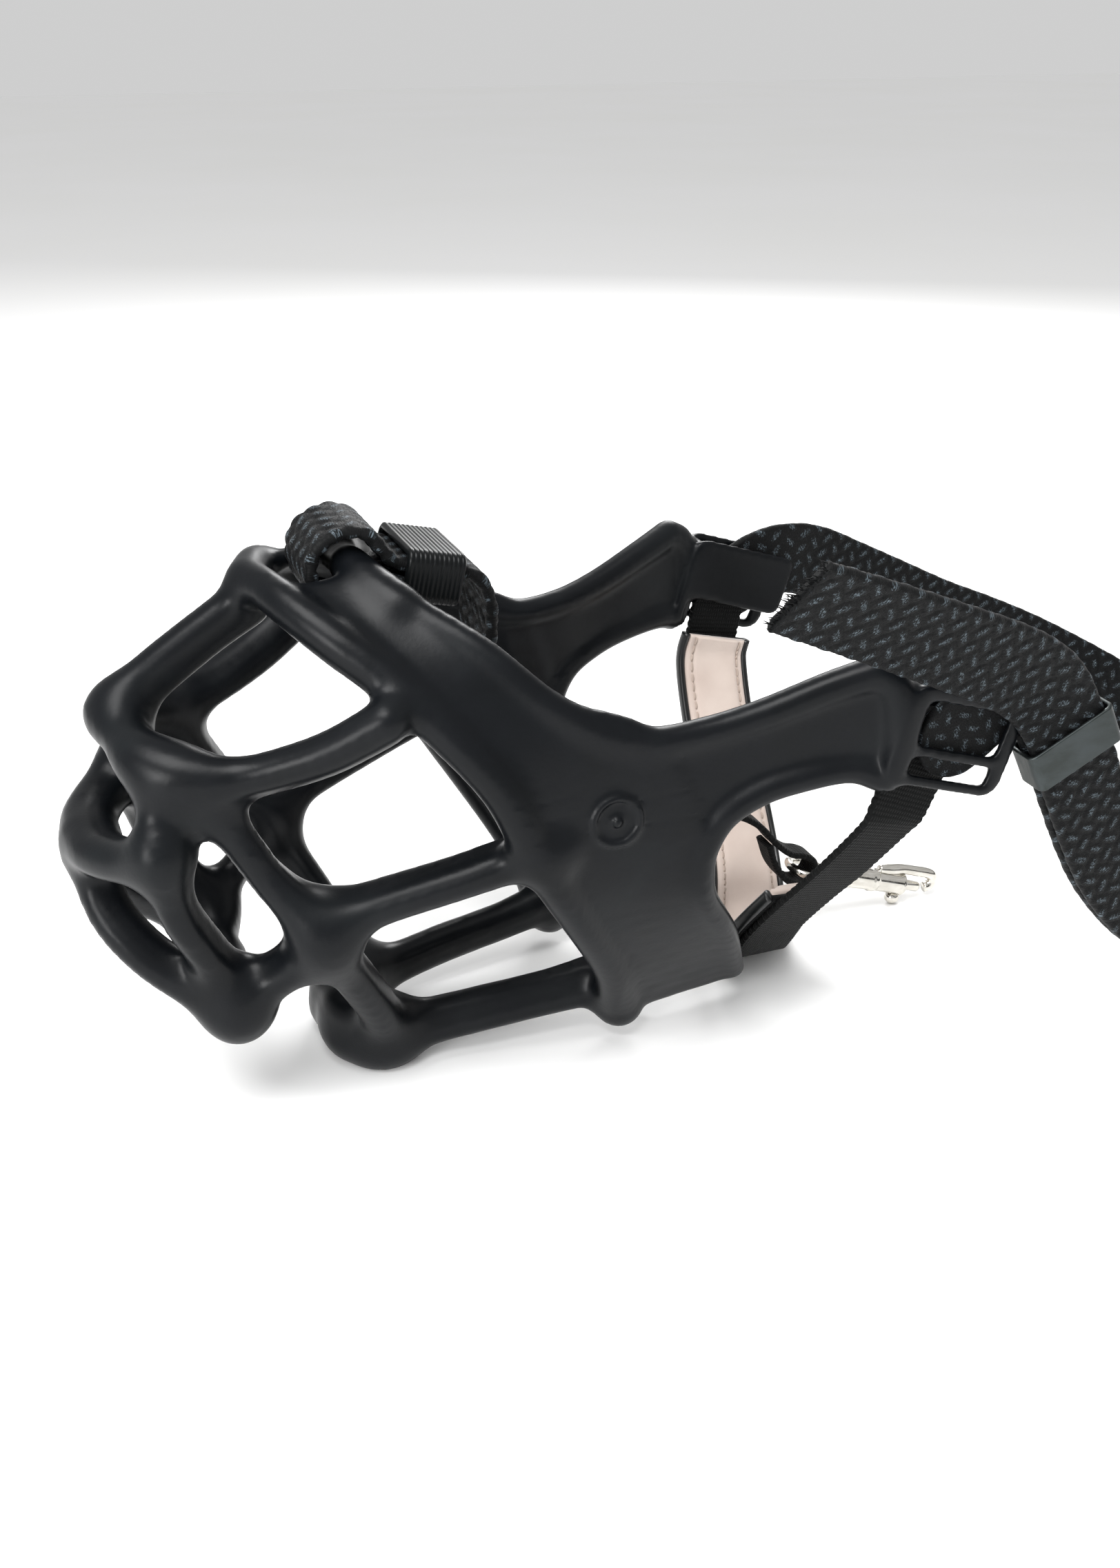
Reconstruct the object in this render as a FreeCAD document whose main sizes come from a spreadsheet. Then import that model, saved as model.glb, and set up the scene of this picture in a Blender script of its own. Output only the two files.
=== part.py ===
import FreeCAD, Part
import math
import os

# Rubber basket muzzle for a dog. Millimetres, +Z up, +X towards the dog's neck, nose at -X.
# The origin is the middle of the flat under the basket's foot. The dog's left side is -Y.
# Stations along the muzzle are measured from the root of the nose hoop, footStation in front
# of the origin, and every outline point below is (station, side, height).

V = FreeCAD.Vector
doc = FreeCAD.newDocument("BasketMuzzle")
sheet = doc.addObject("Spreadsheet::Sheet", "Sizes")

SIZES = [
    ("footStation", 45.0),       # from the nose hoop's root to the origin
    ("bandWall", 4.0),           # rubber wall of the cheek band
    ("armWall", 6.0),            # rubber wall of the arms
    ("plateFace", 57.5),         # from the middle plane to the outer face of a strap plate
    ("plateLength", 31.5),       # strap plate along its slots
    ("plateHeight", 23.5),       # strap plate across its slots
    ("plateTilt", 18.0),         # degrees, nose end up
    ("outerWall", 2.0),          # plate wall with the two slots
    ("innerWall", 1.8),          # plate wall beside the dog
    ("innerWallRise", 16.5),     # its height, from the plate's top edge
    ("sleeveFront", 2.4),        # wall that closes the gap between them at the front
    ("upperSlotLength", 23.0),
    ("upperSlotHeight", 10.4),
    ("lowerSlotLength", 23.0),
    ("lowerSlotHeight", 4.6),
    ("layerGap", 0.35),          # air between layers that move on each other
    ("neckWidth", 20.0),         # braided neck strap
    ("neckThick", 2.6),
    ("throatWidth", 15.0),       # flat webbing under the throat
    ("throatThick", 1.8),
    ("padWidth", 18.0),          # padded liner on the throat webbing
    ("padBacking", 1.4),
    ("padLining", 1.3),
    ("bindingWidth", 1.5),       # binding round the pad's long edges
    ("keeperWall", 1.0),         # folded metal keeper on the neck strap
    ("keeperLength", 10.0),
    ("buckleBar", 3.0),          # thickness of the buckle frame
    ("buckleOpening", 14.4),     # between the buckle's two bars
    ("prongRadius", 1.1),
    ("sleeveWall", 1.4),         # ribbed sleeve on the overhead strap
    ("sleeveLength", 13.0),
    ("overWidth", 20.0),         # braided overhead strap
    ("overThick", 2.6),
    ("tabWidth", 7.0),           # narrow loop that carries the snap
    ("tabThick", 1.6),
    ("snapTilt", 20.0),          # degrees, hook end down
    ("eyeRadius", 5.5),          # swivel eye, to the middle of its wire
    ("eyeWire", 1.2),
    ("barrelRadius", 3.4),
    ("boltRadius", 1.5),
    ("boltTravel", 5.0),
    ("springRadius", 1.35),
]
for row, (alias, value) in enumerate(SIZES, 1):
    sheet.set("A%d" % row, alias)
    sheet.set("B%d" % row, str(value))
    sheet.setAlias("B%d" % row, alias)
doc.recompute()


def size(alias):
    return float(sheet.get(alias))


def at(station, side, height):
    return V(station - size("footStation"), side, height)


def feature(label, shape):
    piece = doc.addObject("Part::Feature", label)
    piece.Label = label
    piece.Shape = shape
    return piece


def tangents(points):
    last = len(points) - 1
    return [(points[min(i + 1, last)] - points[max(i - 1, 0)]).normalize() for i in range(last + 1)]


def outward(solid):
    """A loft can come out inside out: its faces are turned to point outwards."""
    if solid.Volume < 0:
        solid = solid.copy()
        solid.reverse()
    return solid


def band(points, width, thick, hint, lift=0.0, shift=0.0):
    """A flat band: rectangles carried along the path, wide along the hint.
    With no hint the band stays upright against the side of the head.
    lift moves it off the path along its normal, shift along its width."""
    path = [at(*p) for p in points]
    sections = []
    for i, (point, tangent) in enumerate(zip(path, tangents(path))):
        wide = hint[i] if isinstance(hint, list) else hint
        if wide is None:
            wide = V(-tangent.z, 0, tangent.x)
        across = (wide - tangent * wide.dot(tangent)).normalize()
        normal = tangent.cross(across).normalize()
        middle = point + normal * lift + across * shift
        corners = []
        for a, b in ((-1, -1), (1, -1), (1, 1), (-1, 1)):
            corners.append(middle + across * (a * width / 2) + normal * (b * thick / 2))
        sections.append(Part.makePolygon(corners + corners[:1]))
    return outward(Part.makeLoft(sections, True, True))


def prism(outline, low, high):
    """A side view outline of (station, height) points, cut from y low to y high."""
    face = Part.Face(Part.makePolygon([at(x, low, z) for x, z in outline + outline[:1]]))
    return face.extrude(V(0, high - low, 0))


def bothSides(outline, low, high):
    return [prism(outline, low, high), prism(outline, -high, -low)]


# ---- the moulded basket --------------------------------------------------------------------

# (station, top, bottom, half width) of the outer skin
skin = [(-15, 71, 61, 8), (-9, 78, 50, 15), (-2, 97, 41, 22), (6, 107, 32, 26), (14, 114, 22, 28),
        (27, 122, 12, 32), (45, 126, 0, 37), (65, 124, 2, 42), (90, 118, 5, 45.5),
        (115, 112, 6, 47.5), (140, 108, 7, 49)]
# (share of half width, share of height down from the top) round half a section
girth = [(0, 0), (0.45, 0.05), (0.8, 0.22), (0.97, 0.42), (1, 0.55), (0.94, 0.75), (0.72, 0.93), (0.35, 1)]


def hull(inset, back):
    rings = []
    for station, top, bottom, half in skin:
        top, bottom, half = top - inset, bottom + inset, half - inset
        right = [(half * a, top - (top - bottom) * b) for a, b in girth]
        loop = right + [(-y, z) for y, z in reversed(right[1:])]
        curve = Part.BSplineCurve()
        curve.interpolate([at(station + back, y, z) for y, z in loop], True)
        rings.append(Part.Wire(curve.toShape()))
    return outward(Part.makeLoft(rings, True, False))


cheekWindow = [(6, 95.5), (12, 92), (25, 93), (36, 97.5), (42, 103), (38, 107.5), (34, 112), (30, 117),
               (27, 126), (14, 120), (2, 106)]
sideWindow = [(19, 80), (24, 83.5), (44, 93.5), (49, 93), (56.5, 86.5), (65, 75.5), (69, 68.5),
              (60, 64), (45, 59), (34, 54), (27, 64)]
lowerWindow = [(38, 45), (45, 50), (60, 55), (71, 58.5), (77, 54), (84, 41), (91, 28), (96, 17),
               (80, 14), (62, 11.5), (56, 11), (50, 21), (44, 32)]
frontWindow = [(7, 78), (5, 72), (8, 54), (14, 36.5), (17, 37), (26, 46.5), (18, 60), (11, 72)]
chinGap = [(17, 23), (24, 31), (32, 38), (37, 29), (40, 18), (36, 10), (36, -5), (12, -5), (12, 19)]
neckSide = [(51, 121.5), (58, 116.5), (68, 109), (80, 99), (91, 91), (102, 88), (112, 87.5), (118, 80),
            (114, 66), (113, 50), (125, 32), (136, 14), (137, -5), (160, -5), (160, 140), (51, 140)]

cuts = [hull(size("bandWall") + 1.2, 5.0)]
for outline, inner in ((cheekWindow, 5), (sideWindow, 5), (lowerWindow, 12), (frontWindow, 16)):
    cuts += bothSides(outline, inner, 70)
cuts += [prism(chinGap, -70, 70), prism(neckSide, -70, 70)]
cuts += [Part.makeBox(30, 32, 13, at(-22, -16, 75)), Part.makeBox(32, 30, 20, at(-22, -15, 36))]
cuts += [Part.makeBox(44, 15, 20, at(52, -7.5, -5)), Part.makeBox(11.5, 22, 30, at(32, -11, 105))]
cuts += [Part.makeBox(8, 26, 30, at(52.4, -13, 105)), Part.makeBox(300, 200, 50, V(-150, -100, -50))]

cage = hull(0, 0).cut(cuts)


def slab(edges, side, wall):
    """A wall between pairs of (lower, upper) outer edge points, grown towards the dog."""
    sections = []
    for low, high in edges:
        inward = V(0, -side * wall, 0)
        a, b = at(low[0], side * low[1], low[2]), at(high[0], side * high[1], high[2])
        sections.append(Part.makePolygon([a, b, b + inward, a + inward, a]))
    return outward(Part.makeLoft(sections, True, True))


cheekHalf = 44.5             # half width of the cheek band where the arms leave it


def armSide(share):
    """Side of an arm's outer face, a share of the way out from the cheek to the plate's face."""
    return cheekHalf + share * (size("plateFace") - cheekHalf)


armEdges = [((106, armSide(0), 62), (96, armSide(-0.12), 87)),
            ((120, armSide(0.31), 71), (114, armSide(0.15), 88)),
            ((136, armSide(0.54), 76.5), (133, armSide(0.42), 95)),
            ((155, armSide(0.96), 74), (152, armSide(0.96), 99))]

# Strap plates: two walls that the strap ends slip between, joined at the arm. A plate's own
# frame has X along the slots and Z across them, and its origin in the middle of the plate.
plateStation, plateHeightZ = 168.5, 82.0
plateTurn = FreeCAD.Rotation(V(0, 1, 0), size("plateTilt"))
plateOrigin = at(plateStation, 0, plateHeightZ)
sleeve = size("neckThick") + size("throatThick") + 3 * size("layerGap")
plateDepth = size("outerWall") + sleeve + size("innerWall")
print("plate", round(plateDepth, 2), "thick, sleeve", round(sleeve, 2))


def plateBlock(name, side, along, across, depth):
    """A box in a plate's frame; along and across are (low, high), depth is from the outer face."""
    box = doc.addObject("Part::Box", name)
    box.Length = along[1] - along[0]
    box.Height = across[1] - across[0]
    box.Width = depth[1] - depth[0]
    face = size("plateFace")
    start = face - depth[1] if side > 0 else depth[0] - face
    corner = plateOrigin + plateTurn.multVec(V(along[0], start, across[0]))
    box.Placement = FreeCAD.Placement(corner, plateTurn)
    return box


half, rise = size("plateLength") / 2, size("plateHeight") / 2
basketTools, basketBodies = [], []
for side, name in ((1, "right"), (-1, "left")):
    block = plateBlock("plate_" + name, side, (-half, half), (-rise, rise), (0, plateDepth))
    block.setExpression("Length", "Sizes.plateLength")
    block.setExpression("Height", "Sizes.plateHeight")
    gap = (size("outerWall"), size("outerWall") + sleeve)
    frontWall = size("sleeveFront") - half
    sleeveCut = plateBlock("sleeve_" + name, side, (frontWall, half + 30), (-rise - 30, rise + 30), gap)
    upper = plateBlock("upper_slot_" + name, side, (0, 1), (-2.4, 0), (-3, size("outerWall") + 1))
    upper.Placement.Base += plateTurn.multVec(V(-size("upperSlotLength") / 2 + 0.4, 0, 0))
    upper.setExpression("Length", "Sizes.upperSlotLength")
    upper.setExpression("Height", "Sizes.upperSlotHeight")
    lower = plateBlock("lower_slot_" + name, side, (0, 1), (-9.4, 0), (-3, plateDepth + 3))
    lower.Placement.Base += plateTurn.multVec(V(-size("lowerSlotLength") / 2 + 0.4, 0, 0))
    lower.setExpression("Length", "Sizes.lowerSlotLength")
    lower.setExpression("Height", "Sizes.lowerSlotHeight")
    basketBodies += [block]
    below = plateBlock("below_inner_" + name, side, (frontWall, half + 30),
                       (-rise - 30, rise - size("innerWallRise")), (size("outerWall") + sleeve - 1, plateDepth + 8))
    basketTools += [sleeveCut, upper, lower, below]
    arm = feature("arm_" + name, slab(armEdges, side, size("armWall")))
    basketBodies.append(arm)
doc.recompute()
cageFeature = feature("cage", cage)
moulded = doc.addObject("Part::MultiFuse", "moulded")
moulded.Shapes = [cageFeature] + basketBodies
slotTools = doc.addObject("Part::MultiFuse", "slot_tools")
slotTools.Shapes = basketTools
basket = doc.addObject("Part::Cut", "basket")
basket.Base = moulded
basket.Tool = slotTools
doc.recompute()

# ---- straps --------------------------------------------------------------------------------

neckLayer = size("plateFace") - size("outerWall") - size("layerGap") - size("neckThick") / 2
throatLayer = neckLayer - (size("neckThick") + size("throatThick")) / 2 - size("layerGap")
shortLayer = neckLayer + 1.55
freeLayer = size("plateFace") + size("neckThick") / 2 + 0.35 - 0.25
up, rearward, sideways = V(0, 0, 1), V(1, 0, 0), V(0, 1, 0)
neckPivot = (170.0, 82.0)
throatPivot = (165.5, 81.0)


def roundEnd(pivot, side, layer, radius, thick):
    """The round end of a strap that turns between the walls of a plate."""
    low = side * layer - thick / 2
    return Part.makeCylinder(radius, thick, at(pivot[0], low, pivot[1]), V(0, 1, 0))


def joined(pieces):
    return pieces[0].fuse(pieces[1:]).removeSplitter()


# left half of the neck strap: out of the plate, over and down to the buckle
barStation, barSide, barHeight = 262.0, -shortLayer, 14.0
shortPath = [(170, -neckLayer, 82), (178.2, -neckLayer, 87.7), (183.0, -neckLayer, 89.6),
             (188.5, -neckLayer - 0.15, 88.9), (192.6, -neckLayer - 0.75, 86.2), (196, -shortLayer, 80.5)]
downPath = [(210, 52.5), (219, 38.5), (232, 25)]
shortPath += [(x, -shortLayer, z) for x, z in downPath + [(246, 17.2), (254.5, 14), (258.3, 14)]]
shortStrap = band(shortPath, size("neckWidth"), size("neckThick"), None)
foldOuter, foldInner = size("buckleBar") / 2 + 3.1, size("buckleBar") / 2 + 0.45
foldLow = barHeight - size("neckWidth") / 2
fold = Part.makeCylinder(foldOuter, size("neckWidth"), at(barStation, barSide, foldLow))
prongSlot = Part.makeCylinder(foldOuter + 0.4, 4.4, at(barStation, barSide, barHeight - 2.2))
barRoom = Part.makeCylinder(foldInner, 60, at(barStation, barSide, foldLow - 20))
shortRound = roundEnd(neckPivot, -1, neckLayer, size("neckWidth") / 2, size("neckThick"))
feature("neck_strap_left", joined([shortStrap, shortRound, fold]).cut([prongSlot, barRoom]))

# right half: from the free tip, through keeper and buckle, round the neck to the right plate
tipPath = [(121, -freeLayer - 6.5, 124.5), (141, -freeLayer - 5.6, 116), (160, -freeLayer - 4, 107.5),
           (173, -freeLayer - 2.4, 101.5), (182, -freeLayer - 1.2, 96.5), (189, -freeLayer - 0.3, 91),
           (194.2, -freeLayer, 84), (198, -freeLayer, 76.5)]
nearPath = [(x, -freeLayer, z) for x, z in downPath]
overFold = [(246, 4.2, 17.4), (255, 6.1, 14.6), (262, 6.6, 14), (265.5, 5.6, 14), (270, 2, 14),
            (274, -1.4, 14), (278, -3.8, 14)]
nearPath += [(x, -shortLayer - out, z) for x, out, z in overFold]
rearPath = [(286, -50.8, 14), (298, -49.6, 13.4), (311, -43.2, 12.5), (321, -32, 12), (327, -16, 12),
            (328, 3, 13.5), (324, 21, 17.5), (315, 36, 24), (302, 47, 32), (288, 53, 40)]
farPath = [(272, 56, 48.5), (256, 57, 56), (240, 57.2, 63), (222, 57, 72), (208, 56.2, 79),
           (197, 55.0, 84.4), (188, neckLayer, 87), (179, neckLayer, 86.4), (170, neckLayer, 82)]
upright = [None] * (len(tipPath) + len(downPath))
turning = [up] * (len(overFold) + len(rearPath) + len(farPath))
longStrap = band(tipPath + nearPath + rearPath + farPath, size("neckWidth"), size("neckThick"),
                 upright + turning)
longRound = roundEnd(neckPivot, 1, neckLayer, size("neckWidth") / 2, size("neckThick"))
prongHole = Part.makeBox(9.5, 9, 3.6, at(264.6, -shortLayer - 7, barHeight - 1.8))
feature("neck_strap_right", joined([longStrap, longRound]).cut(prongHole))

# metal keeper round both layers of the neck strap
keeperCentre = at(197.9, -(shortLayer + freeLayer) / 2, 77)
keeperTurn = FreeCAD.Rotation(V(0, 1, 0), math.degrees(math.atan2(30, 15)))
keeperDeep = freeLayer - shortLayer + size("neckThick") + 2 * size("layerGap")
keeperWide = size("neckWidth") + 1.2


def turnedBox(name, centre, turn, dims):
    box = doc.addObject("Part::Box", name)
    box.Length, box.Width, box.Height = dims
    box.Placement = FreeCAD.Placement(centre + turn.multVec(V(*dims) * -0.5), turn)
    return box


wall = size("keeperWall")
outer = turnedBox("keeper_outer", keeperCentre, keeperTurn,
                  (size("keeperLength"), keeperDeep + 2 * wall, keeperWide + 2 * wall))
inner = turnedBox("keeper_inner", keeperCentre, keeperTurn,
                  (size("keeperLength") + 10, keeperDeep, keeperWide))
keeper = doc.addObject("Part::Cut", "neck_keeper")
keeper.Base, keeper.Tool = outer, inner

# tongue buckle: an open rectangle whose front bar carries the strap fold and the prong
railZ = size("neckWidth") / 2 + 0.4
opening, barThick = size("buckleOpening"), size("buckleBar")
rearBar = barStation + barThick / 2 + opening
rails = []
for name, low in (("buckle_rail_low", barHeight - railZ - barThick), ("buckle_rail_high", barHeight + railZ)):
    railBox = doc.addObject("Part::Box", name)
    railBox.Length = opening + 2 * barThick
    railBox.setExpression("Width", "Sizes.buckleBar")
    railBox.setExpression("Height", "Sizes.buckleBar")
    corner = at(barStation - barThick / 2, barSide - barThick / 2, low)
    railBox.Placement = FreeCAD.Placement(corner, FreeCAD.Rotation())
    rails.append(railBox)
for name, station in (("buckle_front_bar", barStation), ("buckle_rear_bar", rearBar + barThick / 2)):
    rod = doc.addObject("Part::Cylinder", name)
    rod.setExpression("Radius", "Sizes.buckleBar / 2")
    rod.Height = 2 * railZ + barThick
    rod.Placement.Base = at(station, barSide, barHeight - railZ - barThick / 2)
    rails.append(rod)
buckle = doc.addObject("Part::MultiFuse", "buckle_frame")
buckle.Shapes = rails

prongEye = Part.makeCylinder(barThick / 2 + 1.5, 3.0, at(barStation, barSide, barHeight - 1.5))
prongStart = at(barStation + 2.2, barSide - 0.6, barHeight)
prongEnd = at(rearBar + barThick / 2 + 1.2, barSide - barThick / 2 - 0.25 - size("prongRadius"), barHeight)
prongLine = prongEnd - prongStart
prongRod = Part.makeCylinder(size("prongRadius"), prongLine.Length, prongStart, prongLine)
prongSolid = prongEye.fuse([prongRod, Part.makeSphere(size("prongRadius") * 1.02, prongEnd)])
pinHole = Part.makeCylinder(barThick / 2 + 0.1, 20, at(barStation, barSide, barHeight - 10))
feature("buckle_prong", prongSolid.cut(pinHole))

# ---- throat webbing and its pad --------------------------------------------------------------

downLeft = [(165.5, -throatLayer, 81), (160.5, -throatLayer, 69), (158.2, -throatLayer, 63.5),
            (156.6, -throatLayer + 1.2, 59.6)]
throatPath = downLeft + [(151, -43, 46.5), (146.5, -35, 34.5), (143.8, -27, 23), (145, -19, 12.8),
             (148, -10, 5.2), (152, 0, 1.9), (156.5, 10, 2.6), (160, 19, 7.4), (162, 27, 15.5),
             (162.4, 35, 27.5), (162, 41.5, 40), (161.8, 46.5, 51), (162, throatLayer - 1.2, 60),
             (162.5, throatLayer, 64.5), (165.5, throatLayer, 81)]
webbing = band(throatPath, size("throatWidth"), size("throatThick"), rearward)
ends = [roundEnd(throatPivot, s, throatLayer, size("throatWidth") / 2, size("throatThick")) for s in (-1, 1)]
feature("throat_webbing", joined([webbing] + ends))

# The pad lies on the dog's side of the webbing, from low on the left to just under the right plate.
padPath = throatPath[len(downLeft) + 1:-1] + [(163.6, throatLayer, 69)]
toDog = -1.0
backingLift = (size("throatThick") + size("padBacking")) / 2 + 0.05
liningLift = backingLift + (size("padBacking") + size("padLining")) / 2 + 0.02
bindingLift = (backingLift + liningLift) / 2
feature("pad_backing", band(padPath, size("padWidth"), size("padBacking"), rearward, toDog * backingLift))
feature("pad_lining", band(padPath, size("padWidth") - 0.6, size("padLining"), rearward, toDog * liningLift))
edgeShift = (size("padWidth") + size("bindingWidth")) / 2 + 0.05
edges = [band(padPath, size("bindingWidth"), size("padBacking") + size("padLining"), rearward,
              toDog * bindingLift, s * edgeShift) for s in (-1, 1)]
feature("pad_binding", Part.makeCompound(edges))

# ---- narrow loop and bolt snap -----------------------------------------------------------------

snapTurn = FreeCAD.Rotation(V(0, 1, 0), size("snapTilt"))
snapEye = at(171.7, 5, 16.6)


def snapAt(x, y, z):
    return snapEye + snapTurn.multVec(V(x, y, z))


def snapRod(radius, start, end):
    a, b = snapAt(*start), snapAt(*end)
    return Part.makeCylinder(radius, (b - a).Length, a, b - a)


tabPath = [(144.5, 5, 6.8), (137.2, 5, 9.3), (135.6, 5, 17), (136.6, 5, 27), (140.2, 5, 36), (147, 5, 38.6),
           (154.3, 5, 34.5), (160.3, 5, 27.6), (164.6, 5, 24), (168.4, 5, 22.7), (171.5, 5, 20.6),
           (171.9, 5, 17.4), (169.7, 5, 14.9), (166.6, 5, 14.5), (163.4, 5, 16.6), (160, 5, 21.4),
           (157.6, 5, 28)]
feature("collar_tab", band(tabPath, size("tabWidth"), size("tabThick"), sideways))

eye = Part.makeTorus(size("eyeRadius"), size("eyeWire"), snapEye, snapTurn.multVec(V(0, 0, 1)))
stem = snapRod(1.3, (size("eyeRadius"), 0, 0), (12.2, 0, 0))
swivelHead = snapRod(2.2, (11.0, 0, 0), (13.0, 0, 0))
feature("snap_swivel_eye", eye.fuse([stem, swivelHead]))

bore = size("boltRadius") + 0.35
knobX, knobStemRadius = 31.0, 1.3
barrel = snapRod(size("barrelRadius"), (8.6, 0, 0), (32, 0, 0))
spine = snapRod(1.5, (28, 0, 4.4), (40, 0, 4.4))
saddleBlock = snapRod(1.7, (22, 0, 3.4), (30, 0, 4.4))
hookArc = Part.makeTorus(2.2, 1.5, V(), V(0, 0, 1))
hookArc.Placement = FreeCAD.Placement(snapAt(40, 0, 2.2), snapTurn.multiply(FreeCAD.Rotation(V(1, 0, 0), 90)))
keepFront = Part.makeBox(20, 20, 20, V(0, -10, -10))
keepFront.Placement = FreeCAD.Placement(snapAt(40, 0, 2.2), snapTurn)
hookArc = hookArc.common(keepFront)
body = barrel.fuse([spine, saddleBlock, hookArc])
hollow = [snapRod(1.6, (8, 0, 0), (11.5, 0, 0)), snapRod(2.55, (10.6, 0, 0), (13.4, 0, 0)),
          snapRod(bore, (15, 0, 0), (33, 0, 0))]
slotStart = knobX - knobStemRadius - 0.4 - size("boltTravel")
slotLength = size("boltTravel") + 2 * (knobStemRadius + 0.4)
knobSlot = Part.makeBox(slotLength, 3.4, 6, V(slotStart, -1.7, -6))
knobSlot.Placement = FreeCAD.Placement(snapEye, snapTurn)
feature("snap_body", body.cut(hollow + [knobSlot]))

bolt = snapRod(size("boltRadius"), (24, 0, 0), (38.2, 0, 0))
knobStem = snapRod(knobStemRadius, (knobX, 0, 0), (knobX, 0, -4.2))
knob = Part.makeSphere(1.8, snapAt(knobX, 0, -4.4))
feature("snap_bolt", bolt.fuse([knobStem, knob]))

helix = Part.makeHelix(0.9, 3.2, size("springRadius") - 0.25)
wire = Part.Wire(Part.makeCircle(0.25, V(size("springRadius") - 0.25, 0, 0), V(0, 1, 0)))
spring = Part.Wire(helix).makePipeShell([wire], True, True)
spring.Placement = FreeCAD.Placement(snapAt(20.4, 0, 0), snapTurn.multiply(FreeCAD.Rotation(V(0, 1, 0), 90)))
feature("snap_spring", spring)

# ---- overhead strap ------------------------------------------------------------------------------

overPath = [(70.2, 0, 114.2), (56.8, 0, 117.3), (53.5, 0, 116.2), (47.5, 0, 112.5), (41.8, 0, 114.6),
            (39.2, 0, 120.2), (40.6, 0, 126.2), (46.5, 0, 129.4), (51.8, 0, 128.2), (55, 0, 124.2),
            (58, 0, 121.4), (71, 0, 118.4), (75.6, 0, 115.8), (78.4, 1.2, 109.3), (78.6, 3, 99),
            (77.4, 5.5, 87), (75.5, 8, 76)]
feature("overhead_strap", band(overPath, size("overWidth"), size("overThick"), sideways))
overTurn = FreeCAD.Rotation(V(0, 1, 0), 13)
overCentre = at(64.8, 0, 117.7)
overDeep = 2 * size("overThick") + 3.2
coverWide, coverDeep = size("overWidth") + 0.8, overDeep
coverWall = size("sleeveWall")
coverOuter = turnedBox("cover_outer", overCentre, overTurn,
                       (size("sleeveLength"), coverWide + 2 * coverWall, coverDeep + 2 * coverWall))
coverInner = turnedBox("cover_inner", overCentre, overTurn, (40, coverWide, coverDeep))
cover = doc.addObject("Part::Cut", "overhead_sleeve")
cover.Base, cover.Tool = coverOuter, coverInner
doc.recompute()

# ---- check and write -----------------------------------------------------------------------------

NODES = ["basket", "neck_strap_left", "neck_strap_right", "neck_keeper", "buckle_frame", "buckle_prong",
         "throat_webbing", "pad_backing", "pad_lining", "pad_binding", "collar_tab", "snap_swivel_eye",
         "snap_body", "snap_bolt", "snap_spring", "overhead_strap", "overhead_sleeve"]
for piece in doc.Objects:
    if "Invalid" in piece.State or "Error" in piece.State:
        raise RuntimeError("%s did not compute" % piece.Label)
os.makedirs("parts", exist_ok=True)
for name in NODES:
    piece = [o for o in doc.Objects if o.Label == name][0]
    shape = piece.Shape
    if shape.isNull() or not shape.isValid() or not shape.Solids:
        raise RuntimeError("%s has no valid solid" % name)
    shape.exportStep("parts/%s.step" % name)
    print("%-18s %8.1f mm3  %d solid(s)" % (name, shape.Volume, len(shape.Solids)))
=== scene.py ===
import bpy
import bmesh
import math
import numpy as np
from mathutils import Matrix, Vector


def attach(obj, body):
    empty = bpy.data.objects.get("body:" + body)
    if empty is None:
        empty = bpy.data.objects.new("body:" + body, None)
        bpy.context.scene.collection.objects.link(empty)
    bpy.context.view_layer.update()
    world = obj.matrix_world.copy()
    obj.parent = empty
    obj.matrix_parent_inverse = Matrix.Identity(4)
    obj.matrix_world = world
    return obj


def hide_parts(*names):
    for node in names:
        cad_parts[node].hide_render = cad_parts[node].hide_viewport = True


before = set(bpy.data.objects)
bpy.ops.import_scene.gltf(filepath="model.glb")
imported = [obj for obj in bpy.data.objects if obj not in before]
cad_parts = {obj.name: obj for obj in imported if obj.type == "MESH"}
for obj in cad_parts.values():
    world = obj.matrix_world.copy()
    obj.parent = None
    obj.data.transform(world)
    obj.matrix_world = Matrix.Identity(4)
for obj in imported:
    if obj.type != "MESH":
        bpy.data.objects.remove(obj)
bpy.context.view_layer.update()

# Lengths are in millimetres until a mesh is made. Points are (station, side, height): stations
# run from the root of the nose hoop, footStation in front of the origin, and -side is the left.
mm = 0.001
footStation = 45.0


def mesh(name, points, faces, smooth=True):
    data = bpy.data.meshes.new(name)
    faces = faces if isinstance(faces, list) else faces.tolist()
    data.from_pydata((np.asarray(points, float) * mm).tolist(), [], faces)
    data.polygons.foreach_set("use_smooth", np.full(len(data.polygons), smooth))
    data.update()
    piece = bpy.data.objects.new(name, data)
    bpy.context.scene.collection.objects.link(piece)
    return piece


def inFrame(points):
    return np.asarray(points, float) - np.array([footStation, 0, 0])


def spline(points, step):
    # Catmull-Rom through the points: p + t/2 (next - last) + ..., read about every step millimetres.
    p = np.asarray(points, float)
    ends = np.vstack([2 * p[0] - p[1], p, 2 * p[-1] - p[-2]])
    out = []
    for i in range(len(p) - 1):
        a, b, c, d = ends[i:i + 4]
        count = max(2, int(np.linalg.norm((c - b)[:3]) / step))
        t = np.linspace(0, 1, count, endpoint=False)[:, None]
        out.append(0.5 * (2 * b + (c - a) * t + (2 * a - 5 * b + 4 * c - d) * t ** 2
                          + (3 * b - a - 3 * c + d) * t ** 3))
    return np.vstack(out + [p[-1:]])


def ringFaces(rows, columns, closedRows=False, closedColumns=True):
    # Quads of a grid of rows by columns, wrapped round where it is closed.
    i = np.arange(rows if closedRows else rows - 1)[:, None]
    j = np.arange(columns if closedColumns else columns - 1)[None, :]
    ii, jj = (i + 1) % rows, (j + 1) % columns
    quads = [i * columns + j, i * columns + jj, ii * columns + jj, ii * columns + j]
    return np.stack([np.broadcast_to(q, (len(i), j.shape[1])) for q in quads], -1).reshape(-1, 4)


# materials

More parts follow.
